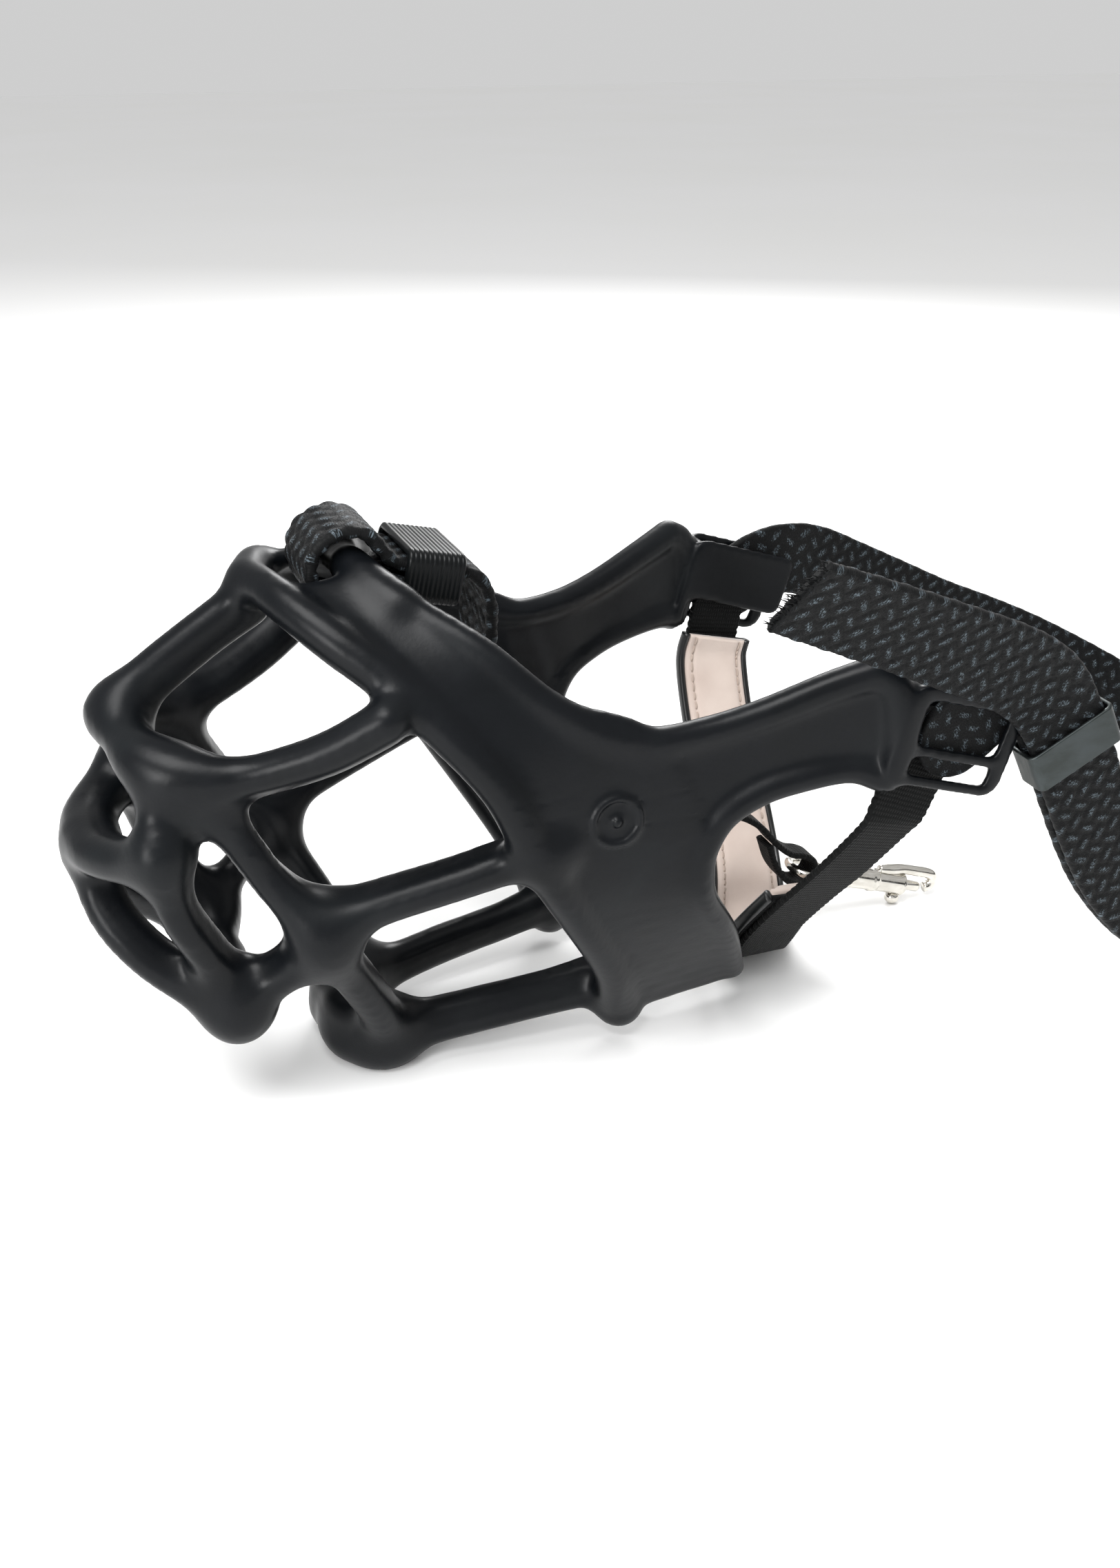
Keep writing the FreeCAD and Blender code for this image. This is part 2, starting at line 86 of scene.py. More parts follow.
def linear(hexColour):
    c = np.array([int(hexColour[i:i + 2], 16) for i in (1, 3, 5)]) / 255
    c = np.where(c <= 0.04045, c / 12.92, ((c + 0.055) / 1.055) ** 2.4)
    return (*c.tolist(), 1.0)


def newMaterial(name, **values):
    material = bpy.data.materials.new(name)
    material.use_nodes = True
    shader = material.node_tree.nodes["Principled BSDF"]
    for socket, value in values.items():
        shader.inputs[socket.replace("_", " ")].default_value = value
    return material, shader


def addNode(material, kind, settings=None, links=None, **values):
    # One node: settings are its own fields, values its sockets, links socket -> (node, output).
    tree = material.node_tree
    node = tree.nodes.new(kind)
    for field, value in (settings or {}).items():
        setattr(node, field, value)
    for socket, value in values.items():
        node.inputs[socket.replace("_", " ")].default_value = value
    for socket, (source, output) in (links or {}).items():
        tree.links.new(source.outputs[output], node.inputs[socket])
    return node


def ramp(material, source, output, stops):
    node = addNode(material, "ShaderNodeValToRGB", links={"Fac": (source, output)})
    elements = node.color_ramp.elements
    while len(elements) < len(stops):
        elements.new(0.5)
    for element, (place, colour) in zip(elements, stops):
        element.position = place
        element.color = linear(colour) if isinstance(colour, str) else (colour, colour, colour, 1)
    return node


def join(material, source, output, shader, socket):
    material.node_tree.links.new(source.outputs[output], shader.inputs[socket])


def bumped(material, shader, source, output, strength, distance):
    bump = addNode(material, "ShaderNodeBump", links={"Height": (source, output)},
                   Strength=strength, Distance=distance)
    join(material, bump, "Normal", shader, "Normal")


def mouldedRubber(name, shades):
    # Black EPDM rubber from a polished mould: dark grey, a soft wide sheen, faint flow marks and
    # dust that lighten it in patches, and a skin texture too fine to feel.
    material, shader = newMaterial(name, Roughness=0.36, IOR=1.5, Specular_IOR_Level=0.16)
    place = addNode(material, "ShaderNodeTexCoord")
    flow = addNode(material, "ShaderNodeTexNoise", links={"Vector": (place, "Object")},
                   Scale=1 / (28 * mm), Detail=4.0, Roughness=0.55, Distortion=0.6)
    colour = ramp(material, flow, "Fac", list(zip((0.3, 0.55, 0.8), shades)))
    join(material, colour, "Color", shader, "Base Color")
    sheen = ramp(material, flow, "Fac", [(0.25, 0.27), (0.75, 0.42)])
    join(material, sheen, "Color", shader, "Roughness")
    skin = addNode(material, "ShaderNodeTexNoise", links={"Vector": (place, "Object")},
                   Scale=1 / (0.9 * mm), Detail=5.0)
    bumped(material, shader, skin, "Fac", 0.18, 0.12 * mm)
    return material


def strapCloth(name, dark, light, roughness, grain):
    # Polyester strap yarn: near black, with painted glints (a painted highlight) where filaments would catch
    # the light, and painted shade in the hollows between the yarns. grain is a glint's size in mm, drawn a
    # little coarse to show.
    material, shader = newMaterial(name, Roughness=roughness, Sheen_Weight=0.02, Specular_IOR_Level=0.16)
    place = addNode(material, "ShaderNodeTexCoord")
    stretch = addNode(material, "ShaderNodeMapping", links={"Vector": (place, "UV")},
                      Scale=(1 / grain, 0.45 / grain, 1))
    yarn = addNode(material, "ShaderNodeTexNoise", links={"Vector": (stretch, "Vector")},
                   Scale=1.0, Detail=3.0, Roughness=0.7)
    lift = addNode(material, "ShaderNodeAttribute", {"attribute_name": "lift"})
    paintedShadeAndGlint = addNode(material, "ShaderNodeMath", {"operation": "MULTIPLY"})
    material.node_tree.links.new(yarn.outputs["Fac"], paintedShadeAndGlint.inputs[0])
    material.node_tree.links.new(lift.outputs["Fac"], paintedShadeAndGlint.inputs[1])
    # painted shade and highlight: yarn noise times crown height, so the hollows stay dark as painted shade and
    # the light colour on high crowns is a painted glint
    colour = ramp(material, paintedShadeAndGlint, "Value", [(0.12, dark), (0.45, dark), (0.66, light)])
    join(material, colour, "Color", shader, "Base Color")
    shine = ramp(material, yarn, "Fac", [(0.35, roughness + 0.12), (0.7, roughness - 0.2)])
    join(material, shine, "Color", shader, "Roughness")
    bumped(material, shader, yarn, "Fac", 0.7, 0.3 * mm)
    return material


def webbingCloth():
    # Flat woven nylon webbing: matt black, fine lengthwise ribs crossed by picks.
    material, shader = newMaterial("wovenWebbing", Roughness=0.72, Sheen_Weight=0.02, Specular_IOR_Level=0.14)
    place = addNode(material, "ShaderNodeTexCoord")
    ribs = addNode(material, "ShaderNodeTexWave", {"bands_direction": "X"}, {"Vector": (place, "UV")},
                   Scale=0.31 / 1.1, Distortion=1.2, Detail=2.0)
    picks = addNode(material, "ShaderNodeTexWave", {"bands_direction": "Y"}, {"Vector": (place, "UV")},
                    Scale=0.31 / 0.7, Distortion=0.8)
    weave = addNode(material, "ShaderNodeMath", {"operation": "MULTIPLY"})
    material.node_tree.links.new(ribs.outputs["Fac"], weave.inputs[0])
    material.node_tree.links.new(picks.outputs["Fac"], weave.inputs[1])
    fuzz = addNode(material, "ShaderNodeTexNoise", links={"Vector": (place, "UV")}, Scale=0.25, Detail=4.0)
    both = addNode(material, "ShaderNodeMath", {"operation": "MULTIPLY"})
    material.node_tree.links.new(weave.outputs["Value"], both.inputs[0])
    material.node_tree.links.new(fuzz.outputs["Fac"], both.inputs[1])
    colour = ramp(material, both, "Value", [(0.0, "#020303"), (0.5, "#0a0b0b"), (0.9, "#151615")])
    join(material, colour, "Color", shader, "Base Color")
    bumped(material, shader, weave, "Value", 0.8, 0.25 * mm)
    return material


def suede():
    # Cream split suede: a dense short nap, so it is matt and slightly mottled, warm in its shade.
    material, shader = newMaterial("suedeLining", Roughness=0.85, Sheen_Weight=0.35, Sheen_Roughness=0.5)
    place = addNode(material, "ShaderNodeTexCoord")
    nap = addNode(material, "ShaderNodeTexNoise", links={"Vector": (place, "Object")},
                  Scale=1 / (0.7 * mm), Detail=6.0, Roughness=0.7)
    blotch = addNode(material, "ShaderNodeTexNoise", links={"Vector": (place, "Object")},
                     Scale=1 / (14 * mm), Detail=3.0)
    colour = ramp(material, blotch, "Fac", [(0.3, "#c2b1a7"), (0.7, "#d2c3b9")])
    join(material, colour, "Color", shader, "Base Color")
    bumped(material, shader, nap, "Fac", 0.35, 0.2 * mm)
    return material


def coatedBinding():
    # Coated cloth binding: black, smooth and half glossy, finely creased along its length.
    material, shader = newMaterial("coatedBinding", Roughness=0.35, IOR=1.5)
    place = addNode(material, "ShaderNodeTexCoord")
    crease = addNode(material, "ShaderNodeTexNoise", links={"Vector": (place, "Object")},
                     Scale=1 / (2.5 * mm), Detail=5.0)
    colour = ramp(material, crease, "Fac", [(0.3, "#08090a"), (0.7, "#101213")])
    join(material, colour, "Color", shader, "Base Color")
    bumped(material, shader, crease, "Fac", 0.3, 0.2 * mm)
    return material


def metal(name, dark, light, roughness, grain):
    # Metal with fine handling scratches: grain is their length in mm.
    material, shader = newMaterial(name, Metallic=1.0, Roughness=roughness)
    place = addNode(material, "ShaderNodeTexCoord")
    stretch = addNode(material, "ShaderNodeMapping", links={"Vector": (place, "Object")},
                      Scale=(1 / (grain * mm), 9 / (grain * mm), 2 / (grain * mm)))
    scratch = addNode(material, "ShaderNodeTexNoise", links={"Vector": (stretch, "Vector")},
                      Scale=1.0, Detail=5.0)
    colour = ramp(material, scratch, "Fac", [(0.3, dark), (0.7, light)])
    join(material, colour, "Color", shader, "Base Color")
    shine = ramp(material, scratch, "Fac", [(0.3, roughness * 0.8), (0.75, min(1.0, roughness * 1.35))])
    join(material, shine, "Color", shader, "Roughness")
    bumped(material, shader, scratch, "Fac", 0.1, 0.05 * mm)
    return material


rubber = mouldedRubber("mouldedRubber", ["#07090b", "#0b0d10", "#121517"])
# in each strap cloth the lighter colour is a painted glint (painted highlight); the darker one also stands as
# painted shade in the yarns' hollows
braidYarn = strapCloth("braidedPolyester", "#020304", "#66727a", 0.6, 0.3)
webYarn = webbingCloth()
sewingThread = strapCloth("sewingThread", "#141516", "#303234", 0.5, 0.3)
creamThread = strapCloth("creamThread", "#b9a99d", "#efe2d8", 0.6, 0.3)
lining = suede()
binding = coatedBinding()
keeperSteel = metal("blackenedSteel", "#3a3e3d", "#4a4f50", 0.42, 6)     # zinc, passivated dark grey
nickel = metal("polishedNickel", "#cfcbc2", "#e4e1da", 0.16, 4)          # nickel over die-cast zinc
sleeveRubber = mouldedRubber("ribbedRubber", ["#07090a", "#0c0e0f", "#131516"])   # as the basket's
springSteel = metal("springSteel", "#8c8f92", "#b9bcc0", 0.3, 3)         # drawn wire, bright


def finished(piece, material, body, replaced=()):
    piece.data.materials.clear()
    piece.data.materials.append(material)
    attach(piece, body)
    if replaced:
        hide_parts(*replaced)
    return piece


# the moulded basket

# Every bar is (station, side, height, radius) points on its middle line, right side only.
basket = {
    "step": 1.15, "plateStep": 0.62, "barBlend": 8.0, "sheetBlend": 1.5, "bandBlend": 4.5, "depth": 3.2,
    "bars": {
        "bridge": [(28, 0, 116, 4.2), (18.4, 0, 110.3, 4.0), (7.7, 0, 103.4, 4.0), (-0.1, 0, 97.6, 4.0),
                   (-2.7, 0, 93.3, 4.2)],
        "arch": [(-2.7, 0, 93.3, 4.6), (-2.2, 8, 91.4, 4.5), (0.3, 15, 89.4, 4.4), (4.8, 20, 87.7, 4.4),
                 (11.6, 24, 86.8, 4.4), (18.2, 26, 86.8, 4.2), (24.8, 28.5, 88.3, 4.2),
                 (35.3, 33, 92.5, 4.4), (46, 37, 99, 4.6)],
        "front": [(1.3, 16, 87.8, 4.4), (1.6, 20, 81.8, 4.0), (0.9, 22, 77.8, 3.8), (0.3, 24.5, 72.1, 3.8),
                  (1.3, 25, 61.6, 3.7), (3.6, 24.5, 53.3, 3.7), (10.1, 22, 39.2, 3.8), (13.9, 20, 29.1, 4.4)],
        "diagonal": [(7.4, 20, 86.2, 4.4), (14.2, 23, 76.1, 4.2), (18.4, 25, 68.6, 4.0),
                     (21.7, 26, 62.4, 4.0),
                     (28.5, 29, 52.6, 4.6), (31.7, 29.5, 46.6, 4.6), (36.7, 27, 36.5, 4.4),
                     (44.4, 21, 20.1, 4.4), (48, 14, 8.5, 5.4)],
        "corner": [(13.8, 20, 27.8, 4.4), (21.3, 25, 35.8, 3.8), (33.1, 29.5, 45.4, 4.4)],
        "lowerSide": [(31.9, 29.5, 50, 4.6), (44.8, 33, 54.7, 4.2), (59.1, 37, 59.3, 4.2),
                      (71.3, 40, 63.3, 4.4), (80, 42, 65.6, 4.6)],
        "rail": [(43, 7, 5.8, 6.0), (50, 13, 5.6, 5.4), (58.6, 14, 7.2, 4.4), (71.4, 16, 9, 4.2),
                 (88.4, 18, 10.9, 4.2), (102, 20, 13.2, 5.0)],
        "foot": [(42.0, 0, 7.4, 7.4), (42.5, 5, 7.2, 7.2), (45.5, 10, 6.4, 6.4)],
        "hoop": [(-12.5, 0, 66.5, 4.6), (-11.4, 9, 66.5, 4.6), (-6.5, 18, 68, 4.5), (0, 24.3, 70.5, 4.4)],
        "chin": [(-13, 0, 60, 3.6), (-11, 8, 51, 3.6), (-5.5, 14, 43, 3.7), (3, 18, 35, 3.8),
                 (13, 20, 28, 4.2)],
        "crossBar": [(15.5, 0, 26, 4.0), (14.4, 12, 26.8, 4.0), (13.4, 20, 28, 4.4)],
        "bridgeBar": [(48.2, 0, 120.8, 3.7), (49.2, 8, 119.8, 3.6), (51, 14, 118, 3.5), (54, 18.5, 116, 3.6)],
    },
    "rib": [(27.5, 0, 119.4, 4.0), (30, 7, 118.8, 4.2), (33.2, 14, 116.9, 4.5), (40.2, 23, 111.4, 4.7),
            (51, 31, 102.4, 4.7), (60.1, 37, 92.5, 4.7), (69, 41, 80.5, 4.6), (76.5, 43, 63.3, 4.5),
            (86.4, 40, 45.9, 4.4), (97.1, 33, 26.8, 4.4), (102.5, 25.5, 12.5, 5.2), (103.8, 23, 8.9, 6.2)],
    "upperRim": [(47.5, 6, 122.0, 3.0), (51.4, 13.8, 119.4, 3.1), (57, 20.5, 115.4, 3.2),
                 (67.8, 31, 108.4, 3.3),
                 (80, 38, 97.5, 3.3), (91, 41, 90, 3.3), (102, 42, 87, 3.3), (114, 43, 87.7, 3.3),
                 (126, 45.3, 90.7, 3.4), (140, 48.7, 96, 3.6), (149, 51.6, 99.2, 3.8)],
    "lowerRim": [(153, 53.2, 74.8, 3.8), (145.9, 50.4, 76.9, 3.5), (135, 48.4, 75.6, 3.4),
                 (125.4, 46.6, 72.9, 3.4), (117, 45.6, 67.3, 3.4), (112.9, 45, 57.3, 3.3),
                 (115.2, 43, 46.9, 3.2), (124.8, 36, 31.6, 3.1),
                 (134.9, 22, 11.1, 3.0)],
    "armEnd": [(149, 51.6, 99.2, 3.8), (153.2, 53, 96, 4.0), (155, 53.6, 88, 4.2), (154.6, 53.4, 80, 4.0),
               (153, 53.2, 74.8, 3.8)],
    # rows of the cheek band from the rib to its rear edge
    "bandFront": [(31.5, 11, 117.9), (33.2, 14, 116.9), (40.2, 23, 111.4), (51, 31, 102.4), (60.1, 37, 92.5),
                  (69, 41, 80.5), (76.5, 43, 63.3), (86.4, 40, 45.9), (97.1, 33, 26.8), (104.5, 24, 8.7)],
    "bandRear": [(49.5, 12.5, 120), (52, 15.5, 118.6), (57, 20.5, 115.4), (67.8, 31, 108.4), (80, 38, 97.5),
                 (102, 42.5, 87), (113, 45, 60), (115.2, 43, 46.9), (124.8, 36, 31.6), (136, 22, 10.2)],
    "bandHalf": 2.1,
    # lower and upper edges of the arm's recessed web
    "armLow": [(104, 44, 63), (117, 45.3, 69), (125.4, 46, 74.5), (136, 48, 78), (153, 52.6, 78)],
    "armHigh": [(98, 42.3, 86), (114, 43, 87), (126, 45.2, 90), (140, 48.6, 95), (151, 52, 98)],
    "armHalf": 1.7,
    "mark": {"place": (92.5, 71.6), "radius": 5.3, "line": 0.75, "sink": 0.2},
    "plate": {"middle": (168.5, 0, 82.0), "tilt": 18.0, "face": 57.5, "half": (15.75, 11.75), "round": 4.5,
              "outerWall": 2.0, "gap": 5.45, "innerWall": 1.8, "front": 2.4,
              "upperSlot": (0.4, 2.8, 11.5, 5.2), "lowerSlot": (0.4, -7.1, 11.5, 2.3)},
}


def stamp(field, axes, balls, blend):
    # Sets the field to the smallest distance to a set of balls (x, y, z, radius), near each ball.
    reach = blend + 2.5
    for x, y, z, radius in balls:
        window = []
        for axis, middle in zip(axes, (x, y, z)):
            low = np.searchsorted(axis, middle - radius - reach)
            high = np.searchsorted(axis, middle + radius + reach)
            window.append(slice(max(low, 0), high))
        xs, ys, zs = (axis[w] for axis, w in zip(axes, window))
        if min(len(xs), len(ys), len(zs)) == 0:
            continue
        away = np.sqrt((xs[:, None, None] - x) ** 2 + (ys[None, :, None] - y) ** 2
                       + (zs[None, None, :] - z) ** 2) - radius
        part = field[tuple(window)]
        np.minimum(part, away, out=part)


def blended(a, b, k):
    # Smooth union of two distance fields: min(a, b) lowered by a fillet of size k where they meet.
    h = np.clip(0.5 + 0.5 * (b - a) / k, 0, 1)
    return b + (a - b) * h - k * h * (1 - h)


def plateField(axes):
    # Distance to a strap plate: rounded walls in its own tilted frame, less the two slots.
    p = basket["plate"]
    low = [np.searchsorted(axis, v) for axis, v in zip(axes, (100, 40, 60))]
    xs, ys, zs = axes[0][low[0]:], axes[1][low[1]:], axes[2][low[2]:]
    dx = xs[:, None, None] - (p["middle"][0] - footStation)
    dz = zs[None, None, :] - p["middle"][2]
    turn = math.radians(p["tilt"])
    u = dx * math.cos(turn) - dz * math.sin(turn)
    w = dx * math.sin(turn) + dz * math.cos(turn)
    depth = p["face"] - ys[None, :, None]

    def roundBox(u0, w0, halfU, halfW, corner):
        a, b = np.abs(u - u0) - halfU + corner, np.abs(w - w0) - halfW + corner
        return np.hypot(np.maximum(a, 0), np.maximum(b, 0)) + np.minimum(np.maximum(a, b), 0) - corner

    def wall(outline, start, thick):
        # both distances cut back and grown again, which rounds the moulded edges
        edge = 0.55
        flat = np.abs(depth - start - thick / 2) - thick / 2 + edge
        side = outline + edge
        outside = np.hypot(np.maximum(flat, 0), np.maximum(side, 0))
        return outside + np.minimum(np.maximum(flat, side), 0) - edge

    halfU, halfW = p["half"]
    total = p["outerWall"] + p["gap"] + p["innerWall"]
    outline = roundBox(0, 0, halfU, halfW, p["round"])
    slots = np.minimum(roundBox(*p["upperSlot"], 1.2), roundBox(*p["lowerSlot"], 1.0))
    outer = wall(np.maximum(outline, -slots), 0, p["outerWall"])
    inner = wall(roundBox(0, 3.4, halfU, 8.2, 3.0), total - p["innerWall"], p["innerWall"])
    block = wall(np.maximum(outline, u - (p["front"] - halfU)), 0, total)
    gap = np.maximum(np.abs(depth - p["outerWall"] - p["gap"] / 2) - p["gap"] / 2, p["front"] - halfU - u)
    gap = np.maximum(gap, np.maximum(np.abs(w) - 17, u - halfU - 3))
    return low, np.minimum(np.minimum(outer, inner), block), gap


def netSurface(field, axes):
    # Surface nets: one point in each cell that the surface crosses, the mean of the crossings on
    # its edges, and one quad round each crossed edge.
    nx, ny, nz = field.shape
    inside = field < 0
    corners = [(i, j, k) for i in (0, 1) for j in (0, 1) for k in (0, 1)]
    shifted = {c: inside[c[0]:nx - 1 + c[0], c[1]:ny - 1 + c[1], c[2]:nz - 1 + c[2]] for c in corners}
    anyIn = np.logical_or.reduce(list(shifted.values()))
    allIn = np.logical_and.reduce(list(shifted.values()))
    cells = np.argwhere(anyIn & ~allIn)
    index = np.full((nx - 1, ny - 1, nz - 1), -1, np.int64)
    index[tuple(cells.T)] = np.arange(len(cells))
    total, count = np.zeros((len(cells), 3)), np.zeros((len(cells), 1))
    for a in corners:
        for axis in range(3):
            if a[axis]:
                continue
            b = list(a)
            b[axis] = 1
            va = field[tuple((cells + a).T)]
            vb = field[tuple((cells + b).T)]
            crossed = (va < 0) != (vb < 0)
            t = va / np.where(crossed, va - vb, 1)
            place = cells + np.array(a, float)
            place[:, axis] += t
            total += np.where(crossed[:, None], place, 0)
            count += crossed[:, None]
    middle = total / count
    points = np.stack([np.interp(middle[:, i], np.arange(len(axes[i])), axes[i]) for i in range(3)], -1)
    quads = []
    for axis in range(3):
        first, second = [(1, 2), (2, 0), (0, 1)][axis]
        size = [nx, ny, nz]
        low = [slice(1, n - 1) for n in size]
        high = [slice(1, n - 1) for n in size]
        low[axis], high[axis] = slice(0, size[axis] - 1), slice(1, size[axis])
        starts, ends = inside[tuple(low)], inside[tuple(high)]
        edges = np.argwhere(starts != ends)
        leaving = starts[tuple(edges.T)]
        offset = np.ones(3, int)
        offset[axis] = 0
        edges = edges + offset
        step1, step2 = np.zeros(3, int), np.zeros(3, int)
        step1[first], step2[second] = 1, 1
        ring = [edges - step1 - step2, edges - step2, edges, edges - step1]
        quad = np.stack([index[tuple(r.T)] for r in ring], -1)
        quads.append(np.where(leaving[:, None], quad, quad[:, ::-1]))
    return points, np.vstack(quads)


def relaxed(points, quads, times):
    # each point goes halfway to the mean of its neighbours, but the foot stays on the floor
    starts, ends = quads.ravel(), np.roll(quads, -1, axis=1).ravel()
    total = np.bincount(starts, minlength=len(points)) + np.bincount(ends, minlength=len(points))
    floor = points[:, 2] < 0.3
    for _ in range(times):
        mean = np.stack([(np.bincount(starts, points[ends, i], len(points))
                          + np.bincount(ends, points[starts, i], len(points))) / total for i in range(3)], -1)
        low = points[floor, 2].copy()
        points = (points + mean) / 2
        points[floor, 2] = low
    return points


def sheetBalls(front, rear, half, step):
    # Balls over a ruled sheet: row(t) on both edge splines, then (1 - u) front + u rear.
    count = 400
    rows = []
    for edge in (front, rear):
        line = spline(edge, 0.5)
        knots = np.linspace(0, 1, len(edge))
        lengths = [0] + [len(spline(edge[:i + 1], 0.5)) - 1 for i in range(1, len(edge))]
        place = np.interp(np.linspace(0, 1, count), knots, lengths)
        rows.append(np.stack([np.interp(place, np.arange(len(line)), line[:, i]) for i in range(3)], -1))
    tall = np.linalg.norm(np.diff(rows[1], axis=0), axis=1).sum()
    keep = np.linspace(0, count - 1, int(tall / step)).astype(int)
    a, b = rows[0][keep], rows[1][keep]
    across = int(np.linalg.norm(b - a, axis=1).max() / step)
    u = np.linspace(0, 1, across)[None, :, None]
    points = ((1 - u) * a[:, None] + u * b[:, None]).reshape(-1, 3)
    return np.hstack([inFrame(points), np.full((len(points), 1), half)])


def markBalls(mark):
    # a ring and a dot on the cheek band's outer face
    sheet = sheetBalls(basket["bandFront"], basket["bandRear"], basket["bandHalf"], 0.8)
    x, z = mark["place"]
    turn = np.linspace(0, 2 * math.pi, 90, endpoint=False)
    balls = [(x - footStation + mark["radius"] * math.cos(a), z + mark["radius"] * math.sin(a), mark["line"])
             for a in turn] + [(x - footStation, z, 1.3)]
    out = []
    for bx, bz, radius in balls:
        near = sheet[np.hypot(sheet[:, 0] - bx, sheet[:, 2] - bz) < 1.2]
        side = near[:, 1].max() + basket["bandHalf"] + mark["sink"]
        out.append((bx, side, bz, radius))
    return np.array(out)


def tubeBalls(points, step=0.9):
    line = spline(points, step)
    return np.hstack([inFrame(line[:, :3]), line[:, 3:4]])


def inner(balls, depth):
    # the same bar a little nearer the middle of the muzzle, so that bars are deeper than they are wide
    spine = np.stack([np.clip(balls[:, 0], -26, 60), 0 * balls[:, 0], np.full(len(balls), 62.0)], -1)
    toMiddle = spine - balls[:, :3]
    toMiddle /= np.linalg.norm(toMiddle, axis=1)[:, None]
    return np.hstack([balls[:, :3] + toMiddle * depth, balls[:, 3:] - 0.3])


def makeBasket():
    b = basket
    fine, coarse = b["plateStep"], b["step"]
    axes = [np.concatenate([np.arange(-66, 40, coarse), np.arange(40, 55, fine), np.arange(55, 104, coarse),
                            np.arange(104, 146, fine * 1.15)]),
            np.concatenate([np.arange(0, 41, coarse), np.arange(41, 61, fine)]),
            np.concatenate([np.arange(-3, 65, coarse), np.arange(65, 79, fine), np.arange(79, 132, coarse)])]
    shape = [len(axis) for axis in axes]
    empty = 30.0

    def fresh():
        return np.full(shape, empty)

    cage = fresh()
    for name, points in b["bars"].items():
        bar = fresh()
        outer = tubeBalls(points)
        deep = outer if name == "bridgeBar" else np.vstack([outer, inner(outer, b["depth"])])
        stamp(bar, axes, deep, b["barBlend"])
        cage = blended(cage, bar, b["barBlend"])
    band = fresh()
    stamp(band, axes, sheetBalls(b["bandFront"], b["bandRear"], b["bandHalf"], 0.9), b["sheetBlend"] + 2)
    web = fresh()
    stamp(web, axes, sheetBalls(b["armLow"], b["armHigh"], b["armHalf"], 0.9), b["sheetBlend"] + 2)
    band = blended(band, web, 1.5)
    edge = fresh()
    for name in ("upperRim", "lowerRim", "armEnd"):
        stamp(edge, axes, tubeBalls(b[name]), b["sheetBlend"] + 2)
    band = blended(band, edge, b["sheetBlend"])
    rib = fresh()
    stamp(rib, axes, tubeBalls(b["rib"]), b["barBlend"])
    band = blended(band, rib, b["sheetBlend"])
    field = blended(cage, band, b["bandBlend"])
    # the size mark: a moulded ring and dot that stand 0.5 mm proud of the left and right cheek
    mark = fresh()
    stamp(mark, axes, markBalls(b["mark"]), 3)
    field = blended(field, mark, 0.3)
    low, plate, gap = plateField(axes)
    part = field[low[0]:, low[1]:, low[2]:]
    # nothing of the arm reaches into the gap between the plate's walls
    part[...] = np.maximum(blended(part, plate, 1.6), -gap)
    # the foot's underside is flat on the floor
    field = np.maximum(field, -axes[2][None, None, :])
    both = np.concatenate([field[:, :0:-1], field], axis=1)
    wide = [axes[0], np.concatenate([-axes[1][:0:-1], axes[1]]), axes[2]]
    points, quads = netSurface(both, wide)
    points = relaxed(points, quads, 3)
    piece = mesh("basket_moulding", points, quads)
    print("basket", len(quads), "quads")
    return finished(piece, rubber, "basket", ["basket"])


makeBasket()

# Flat straps, webbing and pad layers are all bands: a closed outline carried along a route. A hint
# is the way its width points, or for an upright band how far its top leans out, in degrees.

upright = 0.0
standing, rearward, sideways = (0, 0, 1), (1, 0, 0), (0, 1, 0)


def lineOf(points, hints, step):
    # middle line, width direction, normal and length along it; an upright band keeps its width in
    # the side view, square to the line
    p = np.asarray(points, float)
    tangent = np.gradient(p, axis=0)
    wide = []
    for t, h in zip(tangent, hints):
        if isinstance(h, tuple):
            wide.append(h)
        else:
            wide.append((-t[2], -math.hypot(t[0], t[2]) * math.tan(math.radians(h)), t[0]))
    wide = np.array(wide, float)
    wide -= tangent * (np.sum(wide * tangent, -1) / np.sum(tangent ** 2, -1))[:, None]
    wide /= np.linalg.norm(wide, axis=1)[:, None]
    line = spline(np.hstack([p, wide]), step)
    middle, wide = line[:, :3], line[:, 3:]
    tangent = np.gradient(middle, axis=0)
    tangent /= np.linalg.norm(tangent, axis=1)[:, None]
    wide = wide - tangent * np.sum(wide * tangent, -1)[:, None]
    wide /= np.linalg.norm(wide, axis=1)[:, None]
    along = np.concatenate([[0], np.cumsum(np.linalg.norm(np.diff(middle, axis=0), axis=1))])
    return inFrame(middle), wide, np.cross(tangent, wide), along


def outlineOf(half, thick, spacing, corner):
    # a flat band's section with rounded edges: columns of (across, off the middle, which face)
    count = max(4, int(2 * (half - corner) / spacing))
    top = np.linspace(-(half - corner), half - corner, count)
    turn = np.radians([-67.5, -45, -22.5, 0, 22.5, 45, 67.5])
    bulge = half - corner + corner * np.cos(turn)
    side = thick / 2 * np.sin(turn)
    across = np.concatenate([top, bulge[::-1], top[::-1], -bulge])
    off = np.concatenate([np.full(count, thick / 2), side[::-1], np.full(count, -thick / 2), side])
    return across, off


